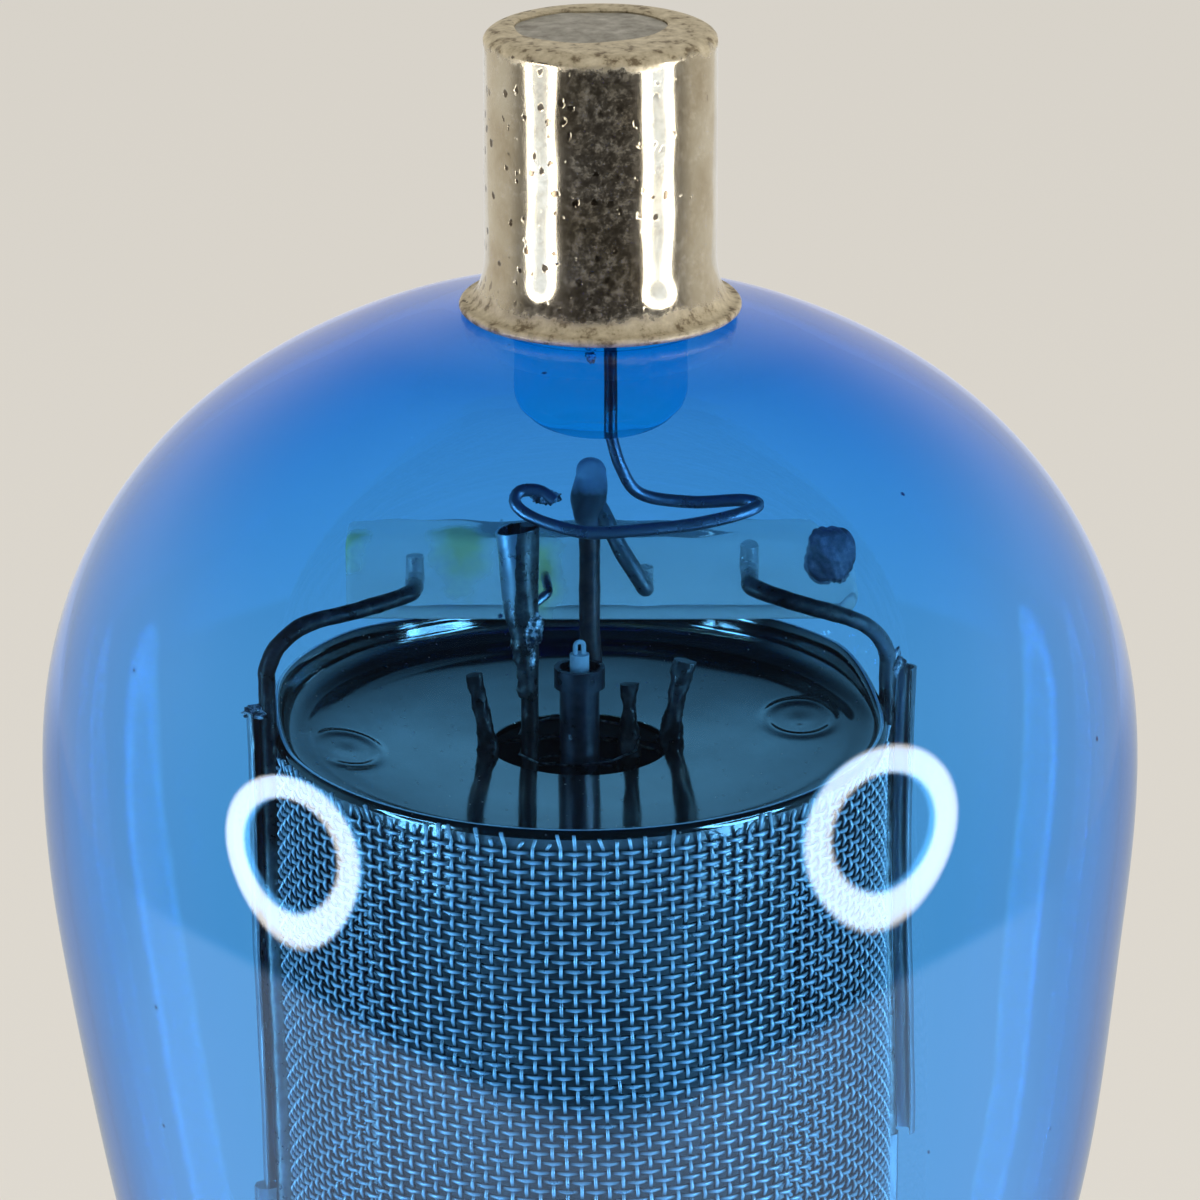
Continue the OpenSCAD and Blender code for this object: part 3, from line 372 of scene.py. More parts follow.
def turn(profile, steps, centre=(0.0, 0.0, 0.0)):
    """The grid of a profile (r, z) carried round Z about the centre, which may be one point or one for
    each row."""
    centre = np.broadcast_to(np.asarray(centre, float), (len(profile), 3))[:, None]
    return around(profile[:, :1], round_angles(steps), profile[:, 1:2]) + centre


class Finish(Nodes):
    """A procedural material: its Principled shader, and short ways to make its patterns. Each reads
    Object coordinates, which are metres in the tube's own frame."""

    def __init__(self, name, **settings):
        self.material = bpy.data.materials.new(name)
        self.material.use_nodes = True
        super().__init__(self.material.node_tree)
        self.shader = self.tree.nodes["Principled BSDF"]
        self.output = self.tree.nodes["Material Output"]
        self.place = self.add("TexCoord", {})["Object"]
        for socket, value in settings.items():
            self.shader.inputs[socket.replace("_", " ")].default_value = value

    def stretched(self, stretch):
        """Object coordinates multiplied by a stretch along each axis."""
        return self.add("VectorMath", {0: self.place, 1: stretch}, operation="MULTIPLY")[0]

    def noise(self, scale, detail=3.0, rough=0.55, stretch=(1, 1, 1)):
        """Soft cloudy noise, about 0.5, with the given number of cells to the metre."""
        inputs = {"Vector": self.stretched(stretch), "Scale": scale, "Detail": detail, "Roughness": rough}
        return self.add("TexNoise", inputs)[0]

    def cells(self, scale, stretch=(1, 1, 1)):
        """The distance to the nearest of many scattered points."""
        return self.add("TexVoronoi", {"Vector": self.stretched(stretch), "Scale": scale})["Distance"]

    def away(self, centre, stretch=(1, 1, 1)):
        """The distance from a centre, in stretched coordinates."""
        return self.distance(self.stretched(stretch), centre)

    def along(self, axis):
        """One of the three Object coordinates."""
        return self.add("SeparateXYZ", {0: self.place})[axis]

    def wandering(self, value, share, *noise):
        """A value with a share of noise added, so that a mask made from it has a ragged edge."""
        return self.sum("MULTIPLY_ADD", self.noise(*noise), share, value)

    def clouds(self, noise, *stops):
        """A run of greys or colours along a noise of its own."""
        return self.ramp(self.noise(*noise), *stops)

    def feed(self, **sources):
        """Links each source to the shader's socket of that name."""
        for socket, source in sources.items():
            self.tree.links.new(source, self.shader.inputs[socket.replace("_", " ")])

    def bump(self, height, depth, strength=1.0):
        """Lifts the shading normal by a height that runs from 0 to 1 over a depth in millimetres."""
        inputs = {"Strength": strength, "Distance": depth * 0.001, "Height": height}
        self.feed(Normal=self.add("Bump", inputs)[0])

    def lets_light_through(self, *tint):
        """Clear glass casts a tinted shadow instead of a black one."""
        shadow = self.add("LightPath", {})["Is Shadow Ray"]
        clear = self.add("BsdfTransparent", {0: tint})[0]
        surface = self.either(shadow, self.shader.outputs[0], clear)
        self.tree.links.new(surface, self.output.inputs["Surface"])

    def absorbs(self, colour, density):
        """Glass coloured all through: light loses density * (1 - colour) of itself to the metre."""
        volume = self.add("VolumeAbsorption", {"Color": colour, "Density": density})[0]
        self.tree.links.new(volume, self.output.inputs["Volume"])

    def on(self, *pieces):
        """Puts the finish on each piece, or CAD node by name, in place of what it had."""
        for piece in pieces:
            materials = (nodes[piece] if isinstance(piece, str) else piece).data.materials
            materials.clear()
            materials.append(self.material)

    def dress(self, piece, slot, replaced):
        """Puts the finish on a new piece, which rides on the tube and stands for the solid it replaces."""
        self.on(piece)
        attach(piece, "root")
        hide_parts(replaced)


def grained(name, grain, tones, relief, gloss=None, **settings):
    """A finish whose tones, gloss and relief all follow one grain of noise."""
    finish = Finish(name, **settings)
    finish.grain = finish.noise(*grain)
    finish.tone = finish.ramp(finish.grain, *tones)
    finish.feed(Base_Color=finish.tone)
    if gloss:
        finish.feed(Roughness=finish.ramp(finish.grain, *gloss))
    finish.bump(finish.grain, *relief)
    return finish


def eased(value, start, stop):
    """0 at the start and 1 at the stop, with a cubic's soft ends: 3 t^2 - 2 t^3."""
    t = np.clip((value - start) / (stop - start), 0, 1)
    return t * t * (3 - 2 * t)


def blown_bulb():
    """The closed bulb: its outer section down, and the same section drawn in by the wall's thickness
    back up. As free-blown glass, it stands 0.28 mm proud of its drawn section beyond the cap, and 0.27 mm
    more towards the taper, which also hangs 0.3 mm to the right. The wall thins from 0.9 mm at the crown
    to 0.62 mm at the belly, where it was blown widest. The round is 0.02 mm out of true, as 3 waves."""
    outer = bulb_side()
    slope = np.gradient(outer, axis=0)
    slope /= np.linalg.norm(slope, axis=1)[:, None]
    inward = slope[:, ::-1] * (1, -1)
    r, z = outer.T
    proud = 0.28 * eased(r, 5.0, 9.5) + 0.27 * eased(z, 94.0, 82.0)
    outer = outer - (proud * eased(z, 48.0, 70.0))[:, None] * inward
    wall = 0.62 + 0.28 * eased(z, 106.0, 119.0)
    inner = outer + wall[:, None] * inward
    inner[0] = (outer[0, 0], outer[0, 1] - wall[0])
    grid = turn(np.vstack([outer, inner[::-1]]), 256)
    z = grid[..., 2]
    low = np.clip((crown_z - z) / 20.0, 0, 1) * (z > 60)
    grid[..., :2] *= 1 + (low * 0.02 * np.sin(3 * round_angles(256) + 1.0) / bulb_r)[..., None]
    grid += (0.3 * eased(z, 96.0, 82.0) * eased(z, 48.0, 70.0))[..., None] * bar_way
    return skin("glass_bulb", grid)


bulb = blown_bulb()
blue_glass = Finish("blue_glass", Roughness=0.0, IOR=1.5, Transmission_Weight=1.0)
specks = blue_glass.ramp(blue_glass.cells(230.0), (0.0, 1.0), (0.018, 1.0), (0.03, 0.0))
sparse = blue_glass.clouds((70.0, 1.0), (0.0, 0.0), (0.46, 0.0), (0.50, 1.0))
dark_bits = blue_glass.sum("MULTIPLY", specks, sparse)
blue_glass.feed(Base_Color=blue_glass.mix(dark_bits, 1.0, (0.004, 0.012, 0.05)))
blue_glass.bump(blue_glass.noise(90.0, 2.0, 0.45), 0.04, 0.2)
blue_glass.lets_light_through(1.0, 1.0, 1.0)
blue_glass.absorbs((0.0, 0.63, 0.965), 1720.0)
blue_glass.dress(bulb, "blue_glass", "bulb")


# The button under the crown: the thick drop of blue glass that the cap's wire is sealed through.
# It is soft-edged, and looks like a deeper patch of the bulb's own blue.
button_r, button_h = 3.4, 4.6


def seal_drop():
    """A turned drop: its top follows the inside of the crown, and its foot is rounded to 2 mm."""
    root, tip = 0.9, 2.0
    inner_r = crown_r - 1.05
    foot = apex - bulb_wall - button_h
    top = arc(0, crown_z, inner_r, 89.7, math.degrees(math.acos((button_r + root) / inner_r)), 14)
    drop = arc(button_r + root, top[-1, 1] - root, root, 88, 180, 8)
    base = arc(button_r - tip, foot + tip, tip, 0, -90, 14)
    profile = np.vstack([top, drop, base, [[0.2, foot - 0.04]]])
    return skin("seal_button", turn(profile, 128, cap_at))


button = seal_drop()
deep_glass = Finish("deep_blue_glass", Roughness=0.0, IOR=1.03, Transmission_Weight=1.0)
deep_glass.feed(
    Base_Color=deep_glass.clouds((200.0, 2.0), (0.3, (0.02, 0.80, 0.96)), (0.7, (0.06, 0.84, 0.98))))
deep_glass.bump(deep_glass.noise(300.0, 2.0), 0.02, 0.2)
deep_glass.lets_light_through(0.45, 0.82, 0.97)
deep_glass.dress(button, "blue_glass", "bulb")


# The cap: a drawn brass cup, nickel plated, cemented over the crown, with a flared skirt and a rolled
# shoulder. A brown film lies on its skirt and shoulder, and its left side is pitted with dark spots.
cap_r, cap_wall, skirt_r, cap_top, solder_r = 4.58, 0.35, 5.4, 130.04, 3.0
skirt_z = crown_z + math.sqrt(crown_r ** 2 - (skirt_r + off_axis) ** 2) + 0.27
hole_at = cap_at - 0.4 * bar_way + (0.11, 0.54, 0)


def hole_edge(grid):
    """Makes the hole oval, 0.84 as deep as wide, with a wandering edge: two sines of the angle."""
    x, y = grid[..., 0] - hole_at[0], grid[..., 1] - hole_at[1]
    t = np.arctan2(y, x)
    wander = 1 + 0.020 * np.sin(3 * t + 0.8) + 0.012 * np.sin(7 * t + 2.0)
    return np.stack([hole_at[0] + x * wander, hole_at[1] + 0.84 * y * wander, grid[..., 2]], -1)


def drawn_cap():
    """The cup's closed section, turned about its own axis: a shoulder and a flare that are quarter
    ellipses, with a straight wall between. The hole in its top was punched 0.4 mm to the left of the
    axis and 0.5 mm behind it. Shallow dents follow sines."""
    shoulder, shoulder_h, flare, flare_h = 0.85, 0.40, skirt_r - cap_r, 1.9
    flare_z = skirt_z + cap_wall + flare_h
    a = np.radians(np.linspace(0, 90, 18))[:, None]

    def cove(extra):
        return np.hstack([skirt_r - (flare + extra) * np.cos(a), flare_z - (flare_h + extra) * np.sin(a)])

    profile = np.vstack([
        cove(0)[::-1],
        np.stack([np.full(34, cap_r), np.linspace(flare_z + 0.2, cap_top - shoulder_h - 0.15, 34)], 1),
        arc(cap_r - shoulder, 0, shoulder, 0, 86, 16) * (1, shoulder_h / shoulder)
        + (0, cap_top - shoulder_h),
        [[solder_r + 0.12, cap_top], [solder_r, cap_top - 0.06], [solder_r, cap_top - cap_wall]],
        arc(cap_r - shoulder, cap_top - shoulder, shoulder - cap_wall, 80, 0, 9),
        cove(cap_wall),
        arc(skirt_r, skirt_z + cap_wall / 2, cap_wall / 2, -80, 80, 8)])
    at_hole = (profile[:, 0] < solder_r + 0.2) & (profile[:, 1] > cap_top - 1)
    grid = turn(profile, 192, cap_at + at_hole[:, None] * (hole_at - cap_at))
    grid[at_hole] = hole_edge(grid[at_hole])
    t, z = round_angles(192), grid[..., 2]
    dent = 0.010 * np.sin(2 * t + 0.5) + 0.006 * np.sin(5 * t + 0.9 * z) + 0.004 * np.sin(9 * t - 1.7 * z)
    grid[..., :2] += (grid[..., :2] - cap_at[:2]) / cap_r * dent[..., None]
    return skin("plated_cap", grid, ring_rows=True, crease=35)


cap = drawn_cap()
plating = Finish("worn_nickel")
tone = plating.clouds((420.0, 5.0, 0.6),
                      (0.25, (0.50, 0.42, 0.29)), (0.5, (0.67, 0.60, 0.46)), (0.75, (0.80, 0.75, 0.62)))
height = plating.along("Z")
skirt_film = plating.step(plating.wandering(height, 0.0014, 900.0, 4.0, 0.65), 0.1206, 0.1201)
top_film = plating.step(plating.wandering(height, 0.0014, 1300.0, 4.0, 0.65), 0.1301, 0.1305)
film = plating.sum("MAXIMUM", skirt_film, top_film)
dusty = plating.clouds((1700.0, 5.0, 0.65),
                       (0.37, (0.20, 0.15, 0.085)), (0.46, (0.52, 0.44, 0.29)), (0.7, (0.74, 0.65, 0.46)))
bare = plating.clouds((2400.0, 6.0, 0.85), (0.40, 0.76), (0.48, 0.95), (0.58, 1.0))
pit_points = plating.wandering(plating.cells(1800.0, (1, 1, 0.8)), 0.60, 3600.0, 3.0, 0.6)
from_patch = plating.wandering(plating.away((-0.0036, -0.0026, 0.1245)), -0.006, 700.0, 3.0, 0.6)
pit_patch = plating.ramp(from_patch, (0.0, 1.0), (0.0009, 0.0))
stray_pits = plating.clouds((240.0, 3.0, 0.6), (0.55, 0.0), (0.62, 1.0))
pit_zone = plating.sum("MAXIMUM", pit_patch, stray_pits)
pits = plating.sum("MULTIPLY", plating.ramp(pit_points, (0.49, 1.0), (0.55, 0.0)), pit_zone)
scratch = plating.noise(260.0, 6.0, 0.75, (9, 9, 0.6))
plating.feed(Metallic=plating.mix(film, bare, 0.25),
             Base_Color=plating.mix(pits, plating.mix(film, tone, dusty), (0.12, 0.09, 0.06)),
             Roughness=plating.mix(film, plating.ramp(scratch, (0.3, 0.075), (0.7, 0.15)), 0.5))
plating.bump(plating.sum("MULTIPLY_ADD", pits, -0.8, plating.sum("MULTIPLY", scratch, 0.12)), 0.02, 0.5)
plating.dress(cap, "cap_nickel", "top_cap")


# The solder that closes the cap's top round the wire's end: a dull grey pool with a puckered skin.
# The same solder closes the pin tips.
def solder_pool():
    """A shallow drop: z falls to the rim as the square of the radius, with ripples of a few sines."""
    r = np.concatenate([[0.05], np.linspace(0.2, solder_r - 0.02, 34)])
    top = np.stack([r, cap_top - 0.03 - 0.10 * (r / solder_r) ** 2], 1)
    under = [[solder_r - 0.02, cap_top - cap_wall], [solder_r - 0.4, cap_top - 0.85], [0.1, cap_top - 0.85]]
    grid = hole_edge(turn(np.vstack([top, under]), 128, hole_at))
    x, y = grid[..., 0] - hole_at[0], grid[..., 1] - hole_at[1]
    ripple = (0.020 * np.sin(2.1 * x + 1.3 * y + 0.4) * np.sin(1.3 * y - 1.1)
              + 0.010 * np.sin(5.3 * x - 2.0) * np.sin(3.1 * y + 0.7)
              - 0.03 * np.exp(-((x - 0.8) ** 2 + y ** 2) * 3))
    fading = np.clip((solder_r - np.hypot(x, y)) / 0.5, 0, 1)
    grid[..., 2] += ripple * fading * (grid[..., 2] > cap_top - 0.2)
    return skin("cap_solder_pool", grid, crease=50)


pool = solder_pool()
solder = grained("dull_solder", (1500.0, 5.0, 0.65),
                 ((0.3, (0.25, 0.23, 0.19)), (0.55, (0.42, 0.40, 0.34)), (0.8, (0.62, 0.59, 0.52))),
                 (0.05, 0.5), Metallic=0.35)
solder.feed(Roughness=solder.clouds((700.0, 3.0), (0.3, 0.38), (0.7, 0.62)))
solder.on("pin_solder")
solder.dress(pool, "solder", "cap_solder")


# The cement under the cap and round the neck: a matt powder fired in place, seen only through the glass.
# It fills the joints, so its pieces are the solids themselves.
cement = grained("cement", (1200.0, 5.0, 0.6), ((0.3, (0.34, 0.26, 0.17)), (0.7, (0.60, 0.50, 0.38))),
                 (0.08, 0.6), Roughness=0.9)
cement.on("cap_cement", "base_cement")


# The wire to the cap: drawn wire, bent by hand into a loose flat loop, and near black on its upper part,
# which runs up through the button.
# Each wire of the tube is a round section carried along a smooth path, with small changes of thickness.
def smooth(points, steps):
    """A Catmull-Rom curve through every point: the cubic whose slope at a point is half the step
    between its neighbours."""
    p = np.asarray(points, float)
    a, b, c, d = p[np.r_[0, 0:len(p) - 2]], p[:-1], p[1:], p[np.r_[2:len(p), len(p) - 1]]
    t = (np.arange(steps) / steps)[:, None, None]
    square, cube = 2 * a - 5 * b + 4 * c - d, 3 * b - a - 3 * c + d
    curve = (2 * b + (c - a) * t + square * t ** 2 + cube * t ** 3) / 2
    return np.vstack([curve.transpose(1, 0, 2).reshape(-1, 3), p[-1:]])


def finer(path, step):
    """The same path with a point every step or less, in millimetres."""
    path = np.asarray(path, float)
    length = run_along(path)[-1]
    return even_points(path, np.linspace(0, length, max(2, int(length / step))))


def tube(name, path, radius, up, sides=20, crease=60.0, flat=0.0, knobs=0.0):
    """A round wire: at each point of the path, the ring r (s cos a + w sin a), where s and w are square
    to the path and to each other. The radius may change along it, and where it is pinched flat the
    ring is (1 + flat / 2) as wide and (1 - flat) as thick. Knobs are that share of three sines of the
    angle and the length."""
    way = np.gradient(path, axis=0)
    way /= np.linalg.norm(way, axis=1)[:, None]
    s = np.cross(way, up)
    s /= np.linalg.norm(s, axis=1)[:, None]
    w = np.cross(way, s)
    a = round_angles(sides)
    radius = np.broadcast_to(radius, len(path))[:, None, None]
    flat = np.broadcast_to(flat, len(path))[:, None, None]
    ring = (1 + flat / 2) * np.cos(a)[:, None] * s[:, None] + (1 - flat) * np.sin(a)[:, None] * w[:, None]
    run = run_along(path)[:, None]
    bumps = np.sin(2 * a + 2.3 * run) + 0.8 * np.sin(3 * a - 6.1 * run + 1)
    bumps += 0.5 * np.sin(5 * a + 15.0 * run)
    return skin(name, path[:, None] + radius * (1 + knobs * bumps)[..., None] * ring, crease=crease)


def uneven(path, radius, share, seed):
    """A radius that wanders by the given share along a path, as a sum of sines with seeded phases."""
    draw = np.random.default_rng(seed)
    x = np.linspace(0, 1, len(path))
    wander = sum(np.sin(2 * math.pi * f * x + draw.uniform(0, 6.3)) / (1 + i)
                 for i, f in enumerate((3, 7, 13, 29)))
    return radius * (1 + share * wander / 2)


def turned(points):
    """Points of the bar's frame turned about Z into the tube's frame."""
    p = np.asarray(points, float)
    c, s = math.cos(turned_by), math.sin(turned_by)
    return np.stack([p[..., 0] * c - p[..., 1] * s, p[..., 0] * s + p[..., 1] * c, p[..., 2]], -1)


def in_bar(x, z):
    """A point of the mount's X axis as the bar's frame sees it."""
    return np.array([x * math.cos(turned_by), -x * math.sin(turned_by), z])


rim_z, post_x, tall_top, lead_r = 101.3, 2.03, 110.0, 0.25


def grid_wire_path():
    """Straight down from the cap through the button, out in a flat loop, and back to the tall post."""
    joint = in_bar(-post_x, tall_top + lead_r + 0.1) + (-off_axis, 0, 0)
    foot = apex - button_h - bulb_wall
    straight = np.array([[0.8, 0, cap_top - 0.35], [0.8, 0, foot]])
    near = [[0.8, 0, foot - 0.2], [1.2, 0.15, apex - 7], [2, 0.5, apex - 8.2], [4, 0.9, apex - 8.65],
            [6, 0.8, apex - 8.55], [6.65, 0.3, apex - 8.6]]
    back = joint + np.array([[8.2, 0.1, 0], [6.4, -0.35, -0.25], [4.4, -0.7, -0.35], [2.4, -0.75, -0.45],
                             [1, -0.45, -0.25], [0, 0, 0], [-0.55, 0.35, 0.4], [-0.35, 0.7, 0.75],
                             [0.4, 0.75, 0.75], [1, 0.6, 0.4]])
    return np.vstack([straight, smooth(np.vstack([near, back]), 12)])


lead_path = turned(finer(grid_wire_path(), 0.15))
grid_lead = tube("cap_wire", lead_path, uneven(lead_path, lead_r, 0.04, 3), turned([0.1, 0.99, 0.12]))
lead_metal = Finish("lead_wire", Metallic=0.9)
streaks = lead_metal.noise(700.0, 4.0, 0.6)
bright_end = lead_metal.sum("MULTIPLY_ADD", streaks, 0.004, lead_metal.along("Z"))
lead_tone = lead_metal.ramp(bright_end, (0.1125, (0.56, 0.50, 0.52)), (0.1145, (0.035, 0.032, 0.036)))
lead_metal.feed(Base_Color=lead_tone, Roughness=lead_metal.ramp(streaks, (0.3, 0.2), (0.7, 0.42)))
lead_metal.bump(lead_metal.noise(2500.0, 3.0), 0.02, 0.35)
lead_metal.dress(grid_lead, "lead_wire", "grid_lead")


# The glass bar stands behind the electrodes and holds the three stay wires and the post's tie.
# It is a short rod of clear glass, pressed flat while hot round each wire.
bar_z, bar_h, bar_t, bar_back, bar_len, bar_side = 105.2, 3.5, 3.0, 1.85, 20.5, 0.9
left_entry, right_entry, middle_entry, loop_entry = (-6.6, 1.6), (6.8, 2.0), (2.6, 1.65), (-1.35, 1.5)
bar_left, bar_right = bar_side - bar_len / 2, bar_side + bar_len / 2


def pressed_bar():
    """A rounded oblong section, a superellipse of power 7, carried along the bar, with its ends drawn
    in, its top cut down at the right, and a swelling of the front face round each wire."""
    tips = np.array([0, 0.04, 0.12, 0.25])
    x = np.concatenate([tips, np.linspace(0.4, bar_len - 0.4, 150), bar_len - tips[::-1]])
    x = x + bar_side - bar_len / 2
    a = round_angles(120) + 0.01
    power = 2 / 7
    across = np.sign(np.cos(a)) * np.abs(np.cos(a)) ** power
    upward = np.sign(np.sin(a)) * np.abs(np.sin(a)) ** power
    end = np.minimum(x - bar_left, bar_right - x)
    draw_in = 0.30 * (1 - np.sqrt(1 - (1 - np.clip(end / 0.30, 0, 1)) ** 2))
    top = bar_h - 2.0 * np.clip((x - (bar_right - 1.9)) / 1.9, 0, 1) ** 1.3 - draw_in
    foot = 0.6 * np.clip((x - (bar_right - 0.6)) / 0.6, 0, 1) + draw_in
    wavy = 0.04 * np.sin(0.9 * x + 1) + 0.03 * np.sin(2.3 * x)
    z = bar_z + (top + foot)[:, None] / 2 + (top - foot)[:, None] / 2 * upward + wavy[:, None] * (upward > 0)
    y = bar_back + bar_t / 2 + (bar_t / 2 - draw_in)[:, None] * across
    grid = np.stack([np.repeat(x[:, None], 120, 1), y, z], -1)
    front = np.clip(-across, 0, 1) ** 2
    for u, v in (left_entry, right_entry, middle_entry, loop_entry):
        far = (grid[..., 0] - u) ** 2 + (grid[..., 2] - bar_z - v) ** 2
        grid[..., 1] -= 0.30 * np.exp(-far / 0.35) * front
    return skin("pressed_glass_bar", turned(grid) + mount_at, crease=70)


bar = pressed_bar()
bar_glass = Finish("bar_glass", IOR=1.14)
patches = []
for centre, size in (((-9.1, 2.4, 108.5), 0.85), ((-4.75, 2.4, 108.3), 1.1), ((-1.7, 1.8, 107.2), 1.0)):
    spot = bar_glass.away((turned(centre) + mount_at) * (0.001, 0.001, 0.0006), (1, 1, 0.6))
    blotch = bar_glass.sum("DIVIDE", bar_glass.wandering(spot, 0.0012, 900.0), size * 0.002)
    patches.append(bar_glass.ramp(blotch, (0.55, 1.0), (0.95, 0.0)))
stains = bar_glass.sum("MAXIMUM", bar_glass.sum("MAXIMUM", patches[0], patches[1]), patches[2])
bar_glass.feed(Base_Color=bar_glass.mix(stains, (0.96, 0.84, 0.73), (0.80, 0.66, 0.24)),
               Transmission_Weight=bar_glass.mix(stains, 0.82, 0.30),
               Roughness=bar_glass.mix(stains, 0.05, 0.25))
bar_glass.bump(bar_glass.noise(350.0, 3.0, 0.5), 0.12, 0.4)
bar_glass.lets_light_through(0.85, 0.92, 0.95)
bar_glass.dress(bar, "bar_glass", "glass_bar")


# The lump on the bar's right end: glass that ran and burnt when the bar was sealed off.
# Its skin is dark ash over glass, part matt and part glossy.
def ball(first, rings, spokes):
    """Unit vectors (sin t cos p, sin t sin p, cos t) over a whole ball, from first at each pole."""
    t, p = np.meshgrid(np.linspace(first, math.pi - first, rings), round_angles(spokes), indexing="ij")
    return np.stack([np.sin(t) * np.cos(p), np.sin(t) * np.sin(p), np.cos(t)], -1)


def burnt_lump():
    """An egg that hangs over the bar's corner: a ball whose radius is drawn out upwards and shaken by
    sines, flattened where it meets the bar."""
    n = ball(0.03, 70, 110)
    x, y, z = n[..., 0], n[..., 1], n[..., 2]
    rough = (0.05 * np.sin(5 * x + 4 * z + 1) + 0.035 * np.sin(9 * y - 7 * z)
             + 0.02 * np.sin(17 * x + 13 * y + 11 * z))
    shape = n * (0.92 + 0.26 * z - 0.10 * z ** 2 + rough)[..., None] * (1.06, 0.62, 1.42)
    centre = np.array([bar_right - 1.15, bar_back + 0.25, bar_z + bar_h - 1.1])
    return skin("burnt_glass_lump", turned(shape + centre) + mount_at)


lump = burnt_lump()
grained("burnt_lump", (1100.0, 6.0, 0.7),
        ((0.32, (0.03, 0.028, 0.03)), (0.5, (0.13, 0.10, 0.11)), (0.72, (0.34, 0.28, 0.30))),
        (0.15, 0.7), ((0.3, 0.25), (0.7, 0.75))).dress(lump, "lump", "bar_lump")


# The stay wires rise from the side sleeves over the lid's edge, and end in short hooks inside the bar.
# They are thick dark wire with a scorched skin, ragged where they leave the sleeves.
side_x, sleeve_top, sleeve_foot, screen_z = 13.05, 103.0, 82.3, 63.0
stay_r, loop_r, entry_in, sway = 0.35, 0.2, 1.1, 0.33


def swayed(points):
    """The mount hangs 0.33 mm to the right of its axis between 72 and 82 mm, and eases back to it at 63
    and 96 mm."""
    z = points[..., 2]
    return points + (sway * eased(z, 96.0, 82.0) * eased(z, 63.0, 72.0))[..., None] * bar_way


def placed(points, step):
    """A path of the bar's frame, with a point every step, in its place in the tube."""
    return turned(finer(points, step)) + mount_at


def hook(entry, r, rise=0.9):
    """The last points of a wire in the glass: straight in, then up in a short hook."""
    way_in = [[0, 0.1, 0], [0, entry_in - 0.35 * r, 0], [0, entry_in, 0.35 * r], [0, entry_in, rise]]
    return np.array([entry[0], bar_back, bar_z + entry[1]]) + np.array(way_in)


def stay_path(foot_x, entry, bends, rise):
    """Up through the sleeve, then over the bends to the bar's face, and into its hook."""
    foot = in_bar(foot_x, 0)
    start = foot + np.array([[0, 0, screen_z + 2.0], [0, 0, sleeve_top - 1], [0, 0, sleeve_top + rise]])
    over = np.vstack([start[-2:], foot + (0, 0, sleeve_top) + np.array(bends),
                      [[entry[0], bar_back - 0.5, bar_z + entry[1]]], hook(entry, stay_r)])
    return swayed(placed(np.vstack([start[:1], smooth(over, 10)]), 0.12))


dark_wire = Finish("scorched_wire", Metallic=0.75)
scorch = dark_wire.noise(1300.0, 5.0, 0.65)
scorched = dark_wire.ramp(
    scorch, (0.3, (0.014, 0.011, 0.010)), (0.55, (0.045, 0.036, 0.032)), (0.78, (0.17, 0.13, 0.11)))
grey_skin = dark_wire.ramp(scorch, (0.3, (0.26, 0.24, 0.21)), (0.7, (0.52, 0.49, 0.44)))
cool_end = dark_wire.ramp(dark_wire.along("Z"), (0.0955, 1.0), (0.0975, 0.0))
backward = dark_wire.toward(dark_wire.place, back_way)
behind_face = dark_wire.ramp(backward, (0.00205, 0.0), (0.00225, 1.0))
above_lid = dark_wire.ramp(dark_wire.along("Z"), (0.1050, 0.0), (0.1053, 1.0))
in_glass = dark_wire.sum("MULTIPLY", behind_face, above_lid)
in_open = dark_wire.mix(cool_end, scorched, grey_skin)
dark_wire.feed(Base_Color=dark_wire.mix(in_glass, in_open, (0.62, 0.60, 0.56)),
               Roughness=dark_wire.clouds((2600.0, 3.0), (0.3, 0.22), (0.7, 0.55)))
dark_wire.bump(scorch, 0.04, 0.5)
dark_wire.on("tall_post")

left_bends = [[0.05, 0, 1.7], [0.5, 0.2, 2.6], [1.6, 0.7, 3.35], [3.55, 1.7, 3.6], [5.4, 3.2, 3.75]]
right_bends = [[-0.05, -0.15, 0.6], [-0.5, -1, 1.7], [-1.5, -2, 2.7], [-3.9, -2.6, 3.65], [-5.5, -2.1, 4.1]]
for name, path, side, seed in (
        ("left_stay", stay_path(0.42 - side_x, left_entry, left_bends, 1.0), -1, 11),
        ("right_stay", stay_path(side_x - 0.33, right_entry, right_bends, 0.0), 1, 12)):
    radius = uneven(path, stay_r, 0.07, seed)
    stay = tube(name + "_wire", path, radius, turned([0.55 * side, 0.35, 0.05]), 18, knobs=0.02)
    dark_wire.dress(stay, "dark_wire", name)

stay_top, stay_y = bar_z + bar_h + 0.9, bar_back - 0.42
centre_path = placed([[0.5, stay_y, 103.2], [0.4, stay_y, bar_z], [0.4, stay_y, stay_top + 1]], 0.1)
centre_stay = tube("centre_stay_rod", centre_path, uneven(centre_path, 0.42, 0.05, 13), turned([0, 1, 0]))
grained("browned_rod", (900.0, 5.0, 0.65),
        ((0.3, (0.03, 0.018, 0.016)), (0.6, (0.10, 0.055, 0.045)), (0.8, (0.20, 0.12, 0.10))),
        (0.04, 0.5), Metallic=0.6, Roughness=0.42).dress(centre_stay, "dark_wire", "centre_stay")

